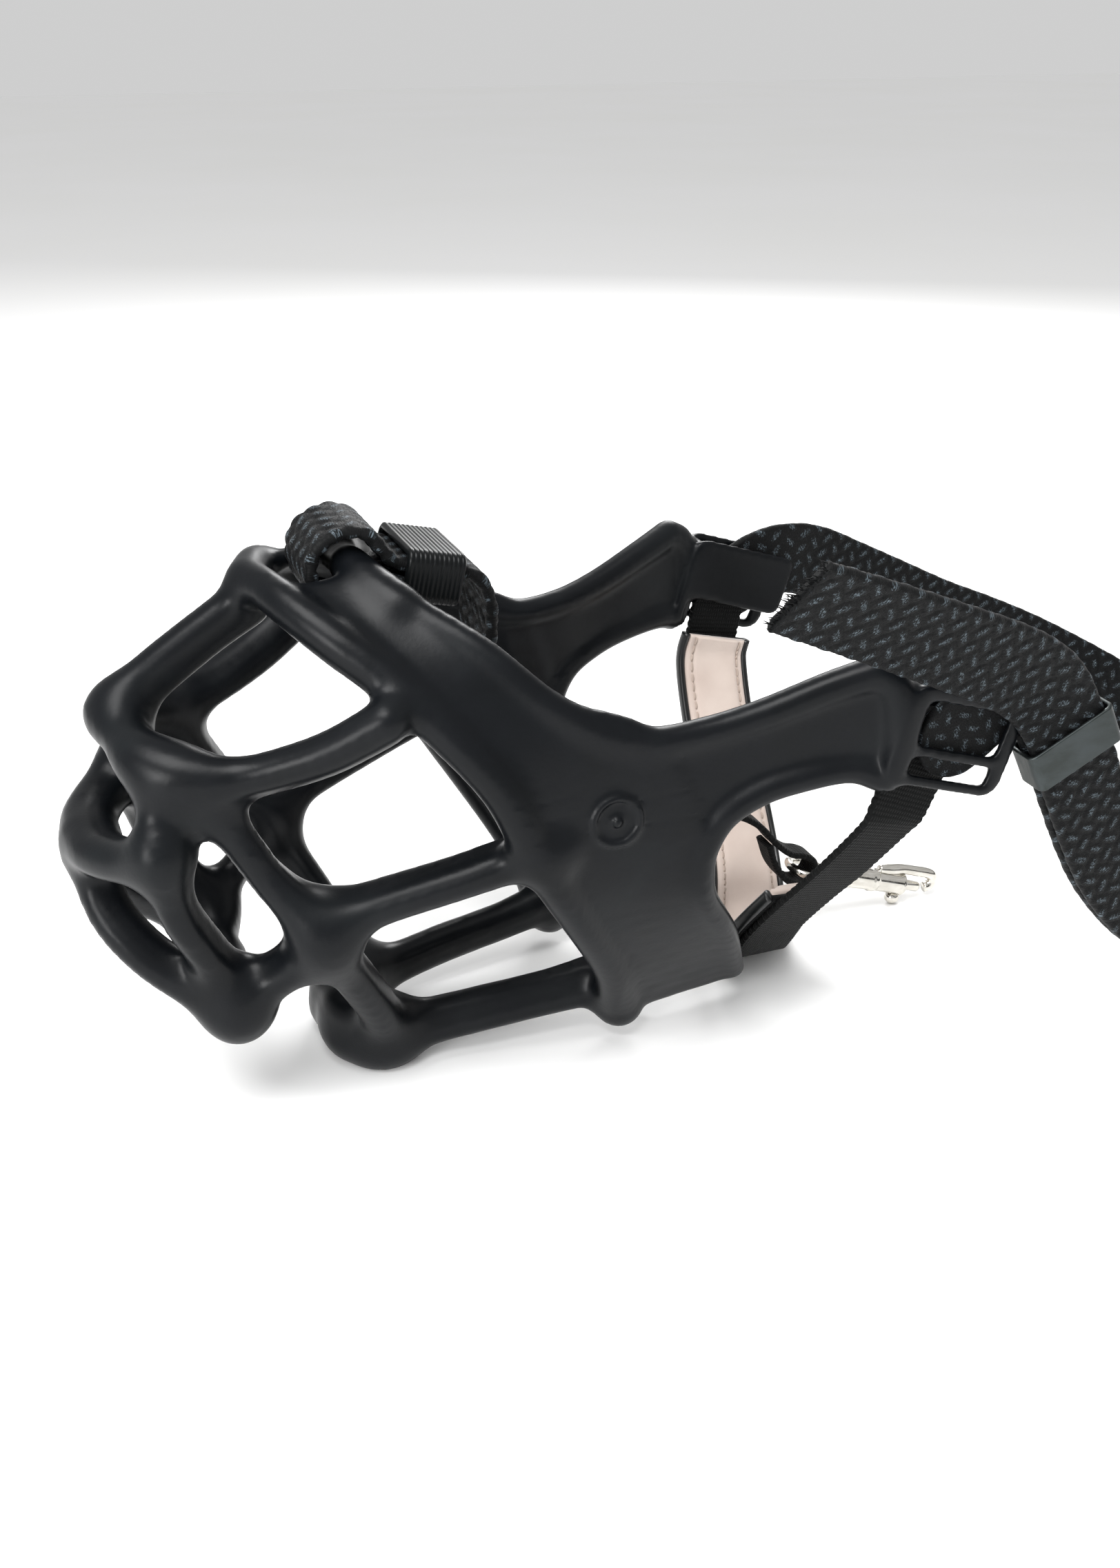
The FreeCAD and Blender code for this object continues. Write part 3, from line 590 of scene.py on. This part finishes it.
def skinned(name, grid, along, around, lift=None, closedRows=False):
    # a mesh from rows by columns of points, capped where it ends, with its UV in millimetres
    rows, columns = grid.shape[:2]
    faces = ringFaces(rows, columns, closedRows).tolist()
    if not closedRows:
        faces += [list(range(columns))[::-1], [(rows - 1) * columns + j for j in range(columns)]]
    piece = mesh(name, grid.reshape(-1, 3), faces)
    loops = np.zeros(len(piece.data.loops), int)
    piece.data.loops.foreach_get("vertex_index", loops)
    place = np.stack([np.broadcast_to(along[:, None], (rows, columns)),
                      np.broadcast_to(around, (rows, columns))], -1).reshape(-1, 2)
    piece.data.uv_layers.new(name="mm").data.foreach_set("uv", place[loops].ravel())
    # lift, the braid's crown height, also drives the strap cloth's painted shade in the hollows and painted
    # glints on the crowns
    if lift is not None:
        piece.data.attributes.new("lift", "FLOAT", "POINT").data.foreach_set("value", lift.ravel())
    return piece


def joined(name, pieces):
    # several meshes made into one piece
    bpy.ops.object.select_all(action="DESELECT")
    for piece in pieces:
        piece.select_set(True)
    bpy.context.view_layer.objects.active = pieces[0]
    bpy.ops.object.join()
    pieces[0].name = name
    return pieces[0]


braid = {"angle": 39.0, "pitch": 2.75, "relief": 0.55, "row": 0.5, "column": 0.45}


def braidLift(along, across):
    # Two sets of yarns cross at +angle and -angle, each over two and under two. a and b count the
    # yarns of either set; on top is set A where (i + j) mod 4 < 2, or else set B.
    angle = math.radians(braid["angle"])
    a = (-across * math.sin(angle) + along * math.cos(angle)) / braid["pitch"]
    b = (across * math.sin(angle) + along * math.cos(angle)) / braid["pitch"]
    i, j = np.floor(a), np.floor(b)
    m = np.mod(i + j, 4)
    onTop = m < 2
    width = np.where(onTop, a - i, b - j)
    length = np.where(onTop, (b - (j - m)) / 2, (a - (i - (m - 2))) / 2)
    crown = np.sqrt(np.clip(1 - (2 * width - 1) ** 2, 0, 1))
    return crown * (1 - 0.8 * np.abs(2 * np.mod(length, 1) - 1) ** 3)


def roundedEnd(points, along, pivot, radius):
    # how much of its full width a strap keeps beyond its pivot: sqrt(1 - (d / radius)^2)
    near = int(np.argmin(np.linalg.norm(points - inFrame(pivot), axis=1)))
    start = near < len(along) / 2
    beyond = (along[near] - along) if start else (along - along[near])
    return np.sqrt(np.clip(1 - (np.clip(beyond, 0, None) / radius) ** 2, 0.04, 1))


def braidedBand(name, points, hints, width, thick, pivot=None):
    middle, wide, normal, along = lineOf(points, hints, braid["row"])
    press = np.ones(len(along))
    if pivot is not None:
        wide = wide * roundedEnd(middle, along, pivot, width / 2)[:, None]
        # the plate's walls press the braid flat
        press = np.clip((np.linalg.norm(middle - inFrame(pivot), axis=1) - 20) / 8, 0.0, 1)
    across, off = outlineOf(width / 2, thick, braid["column"], 1.0)
    face = np.sign(off) * np.minimum(np.abs(off) / (thick / 2), 1)
    lift = braidLift(along[:, None], (across * np.sign(off + 1e-6))[None, :] + 100 * braid["pitch"])
    raised = off * (0.84 + 0.16 * press[:, None]) + face * braid["relief"] * press[:, None] * (lift - 0.6)
    outward = across[None, :] * (1 + 0.016 * (lift - 0.5))
    grid = middle[:, None] + wide[:, None] * outward[..., None] + normal[:, None] * raised[..., None]
    # lift goes with the mesh to give the braid's cloth its painted shade in the hollows and painted glints on
    # the crowns
    return skinned(name, grid, along, across, lift)


def flatBand(name, points, hints, width, thick, corner=0.5, lift=0.0, shift=0.0, picot=0.0, crown=0.0,
             groove=0.0, pivots=()):
    # picot is how far the edge loops stand out, one every 2 mm; crown is how far the face on the
    # normal's far side swells; groove sinks a stitch line near each edge
    middle, wide, normal, along = lineOf(points, hints, 0.5)
    for pivot in pivots:
        wide = wide * roundedEnd(middle, along, pivot, width / 2)[:, None]
    across, off = outlineOf(width / 2, thick, 0.5, corner)
    share = np.clip(np.abs(across) / (width / 2), 0, 1)
    swell = crown * (1 - share ** 4) - groove * np.exp(-((np.abs(across) - width / 2 + 1.9) / 0.5) ** 2)
    depth = off - np.where(off < 0, swell, 0)
    edge = picot * np.abs(np.cos(along * math.pi / 2.0))[:, None] * (share > 0.93)[None, :]
    reach = across[None, :] + np.sign(across)[None, :] * edge + shift
    grid = middle[:, None] + wide[:, None] * reach[..., None] + normal[:, None] * (depth + lift)[None, :, None]
    return skinned(name, grid, along, across)


def tube(name, points, radius, sides=14, closed=False, squash=1.0, normal=None, step=0.5):
    # a round bar along a line of points; radius may change along it
    line = np.asarray(points, float) if closed else spline(points, step)
    if closed:
        tangent = np.roll(line, -1, 0) - np.roll(line, 1, 0)
    else:
        tangent = np.gradient(line, axis=0)
    tangent = tangent / np.linalg.norm(tangent, axis=1)[:, None]
    first = np.array(normal if normal is not None else (0.13, 0.97, 0.21), float)
    up = first - tangent * (tangent @ first)[:, None]
    up /= np.linalg.norm(up, axis=1)[:, None]
    other = np.cross(tangent, up)
    radii = np.atleast_1d(radius)
    r = np.interp(np.linspace(0, 1, len(line)), np.linspace(0, 1, len(radii)), radii)
    turn = np.linspace(0, 2 * math.pi, sides, endpoint=False)
    grid = (line[:, None] + (r[:, None] * np.cos(turn))[..., None] * squash * up[:, None]
            + (r[:, None] * np.sin(turn))[..., None] * other[:, None])
    along = np.concatenate([[0], np.cumsum(np.linalg.norm(np.diff(line, axis=0), axis=1))])
    return skinned(name, grid, along, turn * np.mean(r), closedRows=closed)


def stitches(name, middle, wide, normal, along, at, off, pitch, length, radius):
    # short raised thread runs, one every pitch, a little askew
    pieces = []
    for start in np.arange(1.0, along[-1] - 1.0, pitch):
        ends = []
        for s, high in ((0, -0.15), (0.3, 0.12), (0.7, 0.12), (1, -0.15)):
            k = int(np.searchsorted(along, start + s * length))
            k = min(k, len(along) - 1)
            ends.append(middle[k] + wide[k] * (at + 0.12 * (s - 0.5)) + normal[k] * (off - high))
        pieces.append(tube(name, ends, radius, 6, step=0.4))
    return pieces


# the neck strap

neck = {
    "width": 20.0, "thick": 2.6, "layer": 53.85, "shortLayer": 55.4, "freeLayer": 58.9,
    "down": [(210, 52.5), (219, 38.5), (232, 25)],
    "bar": (262.0, 14.0), "foldRadius": 3.25,
}


def neckLeft():
    n, s = neck["layer"], neck["shortLayer"]
    x, z = neck["bar"]
    r = neck["foldRadius"]
    route = [(162.2, -n, 76.5), (170, -n, 82), (178.2, -n, 87.7), (183, -n, 89.6), (188.5, -n - 0.15, 88.9),
             (192.6, -n - 0.75, 86.2), (196, -s, 80.5)]
    route += [(a, -s, b) for a, b in neck["down"] + [(246, 17.2)]]
    route += [(253, -s + 0.6, z + 0.6), (258.5, -s + 2.6, z)]
    for turn in range(70, -111, -30):
        a = math.radians(turn)
        route.append((x + r * math.cos(a), -s + r * math.sin(a), z))
    route += [(257.6, -s - 3.0, z), (252.4, -s - 2.75, z + 0.7), (248.4, -s - 2.7, z + 1.8)]
    hints = [upright] * 11 + [standing] * (len(route) - 11)
    return route, hints


def makeNeckLeft():
    route, hints = neckLeft()
    piece = braidedBand("neck_strap_left_braid", route, hints, neck["width"], neck["thick"],
                        (170, -neck["layer"], 82))
    # the prong passes through a slot in the middle of the fold
    x, z = neck["bar"]
    centre = np.array([x - footStation, -neck["shortLayer"], z])
    drop = [p.index for p in piece.data.polygons
            if abs(p.center[2] / mm - centre[2]) < 2.0 and p.center[0] / mm > centre[0] + 0.4
            and abs(p.center[1] / mm - centre[1]) < 4.8]
    clearFaces(piece, drop)
    return finished(piece, braidYarn, "neck", ["neck_strap_left"])


def clearFaces(piece, drop):
    data = bmesh.new()
    data.from_mesh(piece.data)
    data.faces.ensure_lookup_table()
    bmesh.ops.delete(data, geom=[data.faces[i] for i in drop], context="FACES")
    data.to_mesh(piece.data)
    data.free()


def neckRight():
    n, s, f = neck["layer"], neck["shortLayer"], neck["freeLayer"]
    tip = [(121, -f - 6.5, 124.5), (141, -f - 5.6, 116), (160, -f - 4, 107.5), (173, -f - 2.4, 101.5),
           (182, -f - 1.2, 96.5), (189, -f - 0.3, 91), (194.2, -f, 84), (198, -f, 76.5)]
    near = [(x, -f, z) for x, z in neck["down"]]
    fold = [(246, 4.2, 17.4), (255, 6.1, 14.6), (262, 6.6, 14), (265.5, 5.6, 14), (270, 2, 14),
            (274, -1.4, 14), (278, -3.8, 14)]
    near += [(x, -s - out, z) for x, out, z in fold]
    rear = [(286, -50.8, 14), (298, -49.6, 13.4), (311, -43.2, 12.5), (321, -32, 12), (327, -16, 12),
            (328, 3, 13.5), (324, 21, 17.5), (315, 36, 24), (302, 47, 32), (288, 53, 40)]
    far = [(272, 56, 48.5), (256, 57, 56), (240, 57.2, 63), (222, 57, 72), (208, 56.2, 79), (197, 55, 84.4),
           (188, n, 87), (179, n, 86.4), (170, n, 82), (162.2, n, 76.5)]
    route = tip + near + rear + far
    hints = [30.0, 24.0, 17.0, 12.0, 8.0, 4.0] + [upright] * 5 + [standing] * (len(route) - 11)
    return route, hints


def makeNeckRight():
    route, hints = neckRight()
    piece = braidedBand("neck_strap_right_braid", route, hints, neck["width"], neck["thick"],
                        (170, neck["layer"], 82))
    finished(piece, braidYarn, "neck", ["neck_strap_right"])
    # filaments that the hot knife left loose at the free tip
    middle, wide, normal, _ = lineOf(route, hints, braid["row"])
    rng = np.random.default_rng(11)
    ahead = middle[0] - middle[4]
    ahead /= np.linalg.norm(ahead)
    tufts = []
    for _ in range(90):
        base = middle[0] + wide[0] * rng.uniform(-9.6, 9.6) + normal[0] * rng.uniform(-1.1, 1.1)
        lean = ahead * rng.uniform(0.7, 2.2) + wide[0] * rng.normal(0, 0.5) + normal[0] * rng.normal(0, 0.4)
        ends = [base - ahead * 0.4, base + lean * 0.5, base + lean]
        tufts.append(tube("tuft", ends, [0.16, 0.13, 0.05], 5, step=0.6))
    finished(joined("neck_strap_tip_filaments", tufts), braidYarn, "neck")


# the throat webbing, its pad and the narrow loop

throat = {"width": 15.0, "thick": 1.8, "layer": 51.3, "padWidth": 18.0, "backing": 1.4, "lining": 1.3,
          "bindingWidth": 1.5}


def throatRoute():
    t = throat["layer"]
    low = [(151, -43, 46.5), (146.5, -35, 34.5), (143.8, -27, 23), (145, -19, 12.8), (148, -10, 5.2),
           (152, 0, 1.9), (156.5, 10, 2.6), (160, 19, 7.4), (162, 27, 15.5), (162.4, 35, 27.5),
           (162, 41.5, 40), (161.8, 46.5, 51), (162, t - 1.2, 60), (162.5, t, 64.5)]
    left = [(168, -t, 87.4), (165.5, -t, 81), (160.5, -t, 69), (158.2, -t, 63.5), (156.6, -t + 1.2, 59.6)]
    return left, low, [(165.5, t, 81), (167.6, t, 87.6)]


def makeThroat():
    left, low, right = throatRoute()
    route = left + low + right
    piece = flatBand("throat_webbing_cloth", route, [rearward] * len(route), throat["width"], throat["thick"],
                     picot=0.42, pivots=[(165.5, side * throat["layer"], 81) for side in (-1, 1)])
    finished(piece, webYarn, "throat", ["throat_webbing"])
    pad = low[1:] + [(163.6, throat["layer"], 69)]
    hints = [rearward] * len(pad)
    backingLift = -((throat["thick"] + throat["backing"]) / 2 + 0.05)
    liningLift = backingLift - (throat["backing"] + throat["lining"]) / 2 - 0.02
    backing = flatBand("pad_backing_cloth", pad, hints, throat["padWidth"], throat["backing"],
                       lift=backingLift)
    finished(backing, webYarn, "throat", ["pad_backing"])
    face = flatBand("pad_lining_suede", pad, hints, throat["padWidth"] - 0.6, throat["lining"],
                    lift=liningLift, crown=1.1, groove=0.5)
    finished(face, lining, "throat", ["pad_lining"])
    edges = []
    for side in (-1, 1):
        shift = side * ((throat["padWidth"] + throat["bindingWidth"]) / 2 - 0.25)
        deep = throat["backing"] + throat["lining"] + 0.5
        edges.append(flatBand("edge", pad, hints, throat["bindingWidth"] + 0.7, deep, corner=1.05,
                              lift=(backingLift + liningLift) / 2, shift=shift))
    finished(joined("pad_binding_edges", edges), binding, "throat", ["pad_binding"])
    middle, wide, normal, along = lineOf(pad, hints, 0.5)
    rows = []
    face = liningLift - throat["lining"] / 2 - 0.55
    for at in (-6.8, 6.8):
        rows += stitches("padStitch", middle, wide, normal, along, at, face, 2.6, 1.9, 0.2)
    finished(joined("pad_stitching", rows), creamThread, "throat")


def makeCollarTab():
    route = [(144.5, 5, 6.8), (137.2, 5, 9.3), (135.6, 5, 17), (136.6, 5, 27), (140.2, 5, 36), (147, 5, 38.6),
             (154.3, 5, 34.5), (160.3, 5, 27.6), (164.6, 5, 24), (168.4, 5, 22.7), (171.5, 5, 20.6),
             (171.9, 5, 17.4), (169.7, 5, 14.9), (166.6, 5, 14.5), (163.4, 5, 16.6), (160, 5, 21.4),
             (157.6, 5, 28)]
    piece = flatBand("collar_tab_webbing", route, [sideways] * len(route), 7.0, 1.6, picot=0.2)
    finished(piece, webYarn, "throat", ["collar_tab"])
    # a box of stitches holds the loop's end
    middle, wide, normal, along = lineOf(route[-3:], [sideways] * 3, 0.4)
    rows = []
    for at in (-2.4, 2.4):
        rows += stitches("tabStitch", middle, wide, normal, along, at, -0.78, 2.2, 1.6, 0.18)
    finished(joined("collar_tab_stitching", rows), sewingThread, "throat")


# the bolt snap, in its own frame: X from the eye to the hook, turned down by tilt

snap = {"eye": (171.7, 5, 16.6), "tilt": 20.0, "eyeRadius": 5.5, "knob": 31.0}


def placed(piece, centre, degrees):
    # local millimetres turned about Y, then moved to a (station, side, height)
    turn = Matrix.Rotation(math.radians(degrees), 4, "Y")
    piece.data.transform(Matrix.Translation(Vector(inFrame(centre)) * mm) @ turn)
    return piece


def turned(name, profile, sides=40, axis="X"):
    # a lathe: (place along the axis, radius) pairs, closed at both ends
    p = np.asarray(profile, float)
    turn = np.linspace(0, 2 * math.pi, sides, endpoint=False)
    x = np.repeat(p[:, :1], sides, 1)
    a, b = p[:, 1:] * np.cos(turn), p[:, 1:] * np.sin(turn)
    grid = np.stack([x, a, b] if axis == "X" else [b, a, x], -1)
    faces = ringFaces(len(p), sides).tolist()
    faces += [list(range(sides))[::-1], [(len(p) - 1) * sides + j for j in range(sides)]]
    piece = mesh(name, grid.reshape(-1, 3), faces)
    return piece


def makeEye():
    turn = np.linspace(0, 2 * math.pi, 72, endpoint=False)
    r = snap["eyeRadius"]
    ring = tube("ring", np.stack([r * np.cos(turn), r * np.sin(turn), 0 * turn], -1), 1.2, 18, closed=True,
                normal=(0, 0, 1))
    stem = turned("stem", [(5.2, 0.7), (5.9, 1.15), (6.8, 1.75), (7.6, 1.9), (8.0, 1.6), (8.3, 1.3),
                           (10.9, 1.3), (11.05, 2.1), (11.2, 2.2), (12.8, 2.2), (13, 2.05), (13, 0.2)])
    piece = placed(joined("snap_eye_casting", [ring, stem]), snap["eye"], snap["tilt"])
    finished(piece, nickel, "snap_eye", ["snap_swivel_eye"])


def makeSnapBody():
    # the barrel is a shell between an outer and an inner radius, with the knob's slot left open
    x = np.unique(np.round(np.concatenate([np.arange(8.6, 32.01, 0.3), [8.6, 8.75, 31.85, 32]]), 3))
    outer = np.interp(x, [8.6, 8.9, 10.4, 10.7, 12.6, 12.9, 20.6, 20.9, 22.3, 22.6, 31.3, 31.6, 32],
                      [3.2, 3.4, 3.4, 3.0, 3.0, 3.4, 3.1, 3.4, 3.4, 3.05, 3.05, 3.4, 3.2])
    inner = np.interp(x, [8.6, 10.5, 10.7, 13.3, 13.5, 14.9, 15.1, 32],
                      [1.6, 1.6, 2.55, 2.55, 0.4, 0.4, 1.85, 1.85])
    sides = 48
    turn = np.linspace(0, 2 * math.pi, sides, endpoint=False)
    spread = np.repeat(x[:, None], sides, 1)
    shells = [np.stack([spread, r[:, None] * np.cos(turn), r[:, None] * np.sin(turn)], -1)
              for r in (outer, inner)]
    points = np.concatenate([s.reshape(-1, 3) for s in shells])
    # the slot is open 0.58 radians each side of straight down
    fromBelow = np.mod(turn + 0.5 * (turn[1] - turn[0]) - 0.5 * math.pi, 2 * math.pi) - math.pi
    under = np.abs(fromBelow) < 0.58
    midX = (x[1:] + x[:-1]) / 2
    slotStart, slotEnd = snap["knob"] - 6.7, snap["knob"] + 1.7
    slotOpen = ((midX > slotStart) & (midX < slotEnd))[:, None] & under[None, :]
    rows, total = len(x), len(x) * sides
    faces = []
    for i in range(rows - 1):
        for j in range(sides):
            a, b = i * sides + j, i * sides + (j + 1) % sides
            c, d = b + sides, a + sides
            if not slotOpen[i, j]:
                faces += [[a, b, c, d], [a + total, d + total, c + total, b + total]]
                continue
            # slot walls where a neighbour is solid
            if not slotOpen[i - 1, j]:
                faces.append([a, b, b + total, a + total])
            if i + 2 < rows and not slotOpen[i + 1, j]:
                faces.append([c, d, d + total, c + total])
            if not slotOpen[i, j - 1]:
                faces.append([d, a, a + total, d + total])
            if not slotOpen[i, (j + 1) % sides]:
                faces.append([b, c, c + total, b + total])
    last = (rows - 1) * sides
    for j in range(sides):
        k = (j + 1) % sides
        faces.append([j, j + total, k + total, k])
        if not slotOpen[-1, j]:
            faces.append([last + j, last + k, last + k + total, last + j + total])
    barrel = mesh("barrel", points, faces)
    hook = tube("hook", [(23, 0, 3.2), (27, 0, 3.7), (31, 0, 4.4), (36, 0, 4.5), (39.8, 0, 4.4),
                         (41.5, 0, 3.8), (42.2, 0, 2.3), (41.7, 0, 0.9), (40.3, 0, 0.1)],
                [1.2, 1.6, 1.6, 1.45, 1.45, 1.5, 1.5, 1.5, 1.45], 20, normal=(0, 1, 0), step=0.4)
    piece = placed(joined("snap_hook_casting", [barrel, hook]), snap["eye"], snap["tilt"])
    finished(piece, nickel, "snap", ["snap_body"])


def makeBolt():
    bolt = turned("bolt", [(24, 0.2), (24, 1.3), (24.2, 1.5), (37.6, 1.5), (38.1, 1.25), (38.2, 0.9),
                           (38.2, 0.1)], 28)
    knob = turned("knob", [(0, 1.2), (-2.6, 1.2), (-2.9, 1.35), (-3.2, 1.75), (-3.9, 2.05), (-4.8, 2.0),
                           (-5.6, 1.5), (-6.05, 0.8), (-6.15, 0.1)], 28, "Z")
    knob.data.transform(Matrix.Translation((snap["knob"] * mm, 0, 0)))
    piece = placed(joined("snap_thumb_bolt", [bolt, knob]), snap["eye"], snap["tilt"])
    finished(piece, nickel, "bolt", ["snap_bolt"])
    # the return spring: a helix x = pitch t, (y, z) = r (cos, sin) of 2 pi t
    t = np.linspace(0, 3.5, 120)
    coil = np.stack([20.4 + 0.9 * t, 1.1 * np.cos(2 * math.pi * t), 1.1 * np.sin(2 * math.pi * t)], -1)
    spring = placed(tube("snap_return_spring", coil, 0.25, 8, step=0.6), snap["eye"], snap["tilt"])
    finished(spring, springSteel, "bolt", ["snap_spring"])


# the keeper and the buckle

def folded(name, inner, wall, length, bevel, corner, ribs=None):
    # A loop of sheet round a rectangle: its section goes round the wall's thickness and length.
    # inner is (height, depth) inside; ribs is (pitch, rise) of moulded ribs across the loop.
    high, deep = inner[0] / 2 + wall / 2, inner[1] / 2 + wall / 2
    loop = []
    for cy, cz, start in ((deep, high, 0), (-deep, high, 90), (-deep, -high, 180), (deep, -high, 270)):
        for step in range(0, 91, 10):
            a = math.radians(start + step)
            loop.append((cy - math.copysign(corner, cy) + corner * math.cos(a),
                         cz - math.copysign(corner, cz) + corner * math.sin(a)))
    dense = []
    for p, q in zip(loop, loop[1:] + loop[:1]):
        count = max(1, int(math.dist(p, q) / 0.7))
        dense += [(p[0] + (q[0] - p[0]) * k / count, p[1] + (q[1] - p[1]) * k / count) for k in range(count)]
    line = np.array(dense)
    tangent = np.roll(line, -1, 0) - np.roll(line, 1, 0)
    tangent /= np.maximum(np.linalg.norm(tangent, axis=1), 1e-9)[:, None]
    outward = np.stack([tangent[:, 1], -tangent[:, 0]], -1)
    half = length / 2
    flat = np.linspace(-half + 2 * bevel, half - 2 * bevel, 60 if ribs else 8)
    x = np.concatenate([[-half, -half + bevel], flat, [half - bevel, half]])
    rise = np.zeros(len(x)) if ribs is None else ribs[1] * np.abs(np.sin(math.pi * x / ribs[0])) ** 0.7
    rim = np.minimum(1, (half - np.abs(x)) / bevel)
    top = wall / 2 - bevel * (1 - np.sqrt(1 - (1 - rim) ** 2)) + rise * rim
    xs = np.concatenate([x, x[::-1]])
    off = np.concatenate([top, -(wall / 2 - bevel * (1 - rim))[::-1]])
    grid = np.empty((len(line), len(xs), 3))
    grid[..., 0] = xs
    grid[..., 1:] = line[:, None] + outward[:, None] * off[None, :, None]
    return skinned(name, grid, np.arange(len(line)) * 0.7, xs, closedRows=True)


def makeKeeper():
    piece = folded("neck_keeper_loop", (21.2, 6.8), 1.0, 10.0, 0.22, 1.4)
    placed(piece, (197.9, -57.15, 77), math.degrees(math.atan2(30, 15)))
    finished(piece, keeperSteel, "keeper", ["neck_keeper"])


def makeSleeve():
    piece = folded("overhead_sleeve_ribbed", (8.4, 20.8), 1.4, 13.0, 0.4, 1.8, ribs=(1.05, 0.3))
    placed(piece, (64.8, 0, 117.7), 13)
    finished(piece, sleeveRubber, "sleeve", ["overhead_sleeve"])


def makeBuckle():
    # a rounded rectangle of wire, corner radius 3
    x, z = neck["bar"]
    wide, high, corner = 17.4, 11.9, 3.0
    outline = []
    for cx, cz, start in ((x + wide - corner, z + high - corner, 0), (x + corner, z + high - corner, 90),
                          (x + corner, z - high + corner, 180), (x + wide - corner, z - high + corner, 270)):
        outline += [(cx + corner * math.cos(math.radians(start + k)), -neck["shortLayer"],
                     cz + corner * math.sin(math.radians(start + k))) for k in range(0, 91, 9)]
    dense = []
    for p, q in zip(outline, outline[1:] + outline[:1]):
        count = max(1, int(math.dist(p, q) / 0.8))
        dense += [tuple(np.array(p) + (np.array(q) - np.array(p)) * k / count) for k in range(count)]
    piece = tube("buckle_wire_frame", inFrame(dense), 1.5, 18, closed=True, normal=(0, 1, 0))
    finished(piece, nickel, "neck", ["buckle_frame"])


def makeProng():
    x, z = neck["bar"]
    y = -neck["shortLayer"]
    wrap = [(x + 2.75 * math.cos(a), y + 2.75 * math.sin(a), z) for a in np.radians(np.arange(20, 301, 20))]
    rod = [(x + 3.4, y - 1.9, z), (x + 8, y - 2.0, z), (x + 14, y - 2.4, z), (x + 18.4, y - 2.85, z)]
    radii = [1.0] * 12 + [1.1, 1.1, 1.1, 0.95, 0.7]
    piece = tube("buckle_tongue", inFrame(wrap + rod), radii, 16, normal=(0, 0, 1))
    finished(piece, nickel, "prong", ["buckle_prong"])


def makeOverhead():
    route = [(70.2, 0, 114.2), (56.8, 0, 117.3), (53.5, 0, 116.2), (47.5, 0, 112.5), (41.8, 0, 114.6),
             (39.2, 0, 120.2), (40.6, 0, 126.2), (46.5, 0, 129.4), (51.8, 0, 128.2), (55, 0, 124.2),
             (58, 0, 121.4), (71, 0, 118.4), (75.6, 0, 115.8), (78.4, 1.2, 109.3), (78.6, 3, 99),
             (77.4, 5.5, 87), (75.5, 8, 76)]
    piece = braidedBand("overhead_strap_braid", route, [sideways] * len(route), 20.0, 2.6)
    finished(piece, braidYarn, "overhead", ["overhead_strap"])


for make in (makeNeckLeft, makeNeckRight, makeThroat, makeCollarTab, makeEye, makeSnapBody, makeBolt,
             makeKeeper, makeSleeve, makeBuckle, makeProng, makeOverhead):
    make()
    print("made", make.__name__)


# camera, light and floor

view = {"place": (-73, -316.2, 228.7), "azimuth": -21.68, "elevation": 26.6, "lens": 2300 / 2274 * 36}


def makeCamera():
    a, e = math.radians(view["azimuth"]), math.radians(view["elevation"])
    back = Vector((math.sin(a) * math.cos(e), -math.cos(a) * math.cos(e), math.sin(e)))
    right = (-back).cross(Vector((0, 0, 1))).normalized()
    up = right.cross(-back)
    data = bpy.data.cameras.new("camera")
    data.lens, data.sensor_width, data.clip_start = view["lens"], 36, 0.01
    camera = bpy.data.objects.new("camera", data)
    bpy.context.scene.collection.objects.link(camera)
    turn = Matrix((right, up, back)).transposed().to_4x4()
    camera.matrix_world = Matrix.Translation(Vector(view["place"]) * mm) @ turn
    bpy.context.scene.camera = camera


def makeLight(name, place, target, size, power):
    data = bpy.data.lights.new(name, "AREA")
    data.shape, data.size, data.energy = "SQUARE", size, power
    light = bpy.data.objects.new(name, data)
    bpy.context.scene.collection.objects.link(light)
    light.location = place
    light.rotation_euler = (Vector(target) - Vector(place)).to_track_quat("-Z", "Y").to_euler()


makeCamera()
makeLight("softboxAbove", (-0.25, -0.25, 0.85), (0.05, 0, 0.06), 0.5, 9)
makeLight("softboxLeft", (-0.75, -0.55, 0.35), (0.02, 0, 0.06), 0.35, 6)
makeLight("softboxBehind", (0.45, 0.7, 0.55), (0.05, 0, 0.06), 0.4, 6)
world = bpy.data.worlds.new("studio")
world.use_nodes = True
world.node_tree.nodes["Background"].inputs["Color"].default_value = linear("#ffffff")
world.node_tree.nodes["Background"].inputs["Strength"].default_value = 0.62
bpy.context.scene.world = world
bpy.context.scene.view_settings.view_transform = "Standard"


def makeFloor():
    reach = 4000
    piece = mesh("floor", [(-reach, -reach, 0), (reach, -reach, 0), (reach, reach, 0), (-reach, reach, 0)],
                 [(0, 1, 2, 3)])
    material, shader = newMaterial("paleFloor", Roughness=0.7)
    place = addNode(material, "ShaderNodeTexCoord")
    mottle = addNode(material, "ShaderNodeTexNoise", links={"Vector": (place, "Object")}, Scale=3.0)
    colour = ramp(material, mottle, "Fac", [(0.3, "#fcfcfb"), (0.7, "#fefefe")])
    join(material, colour, "Color", shader, "Base Color")
    piece.data.materials.append(material)


makeFloor()
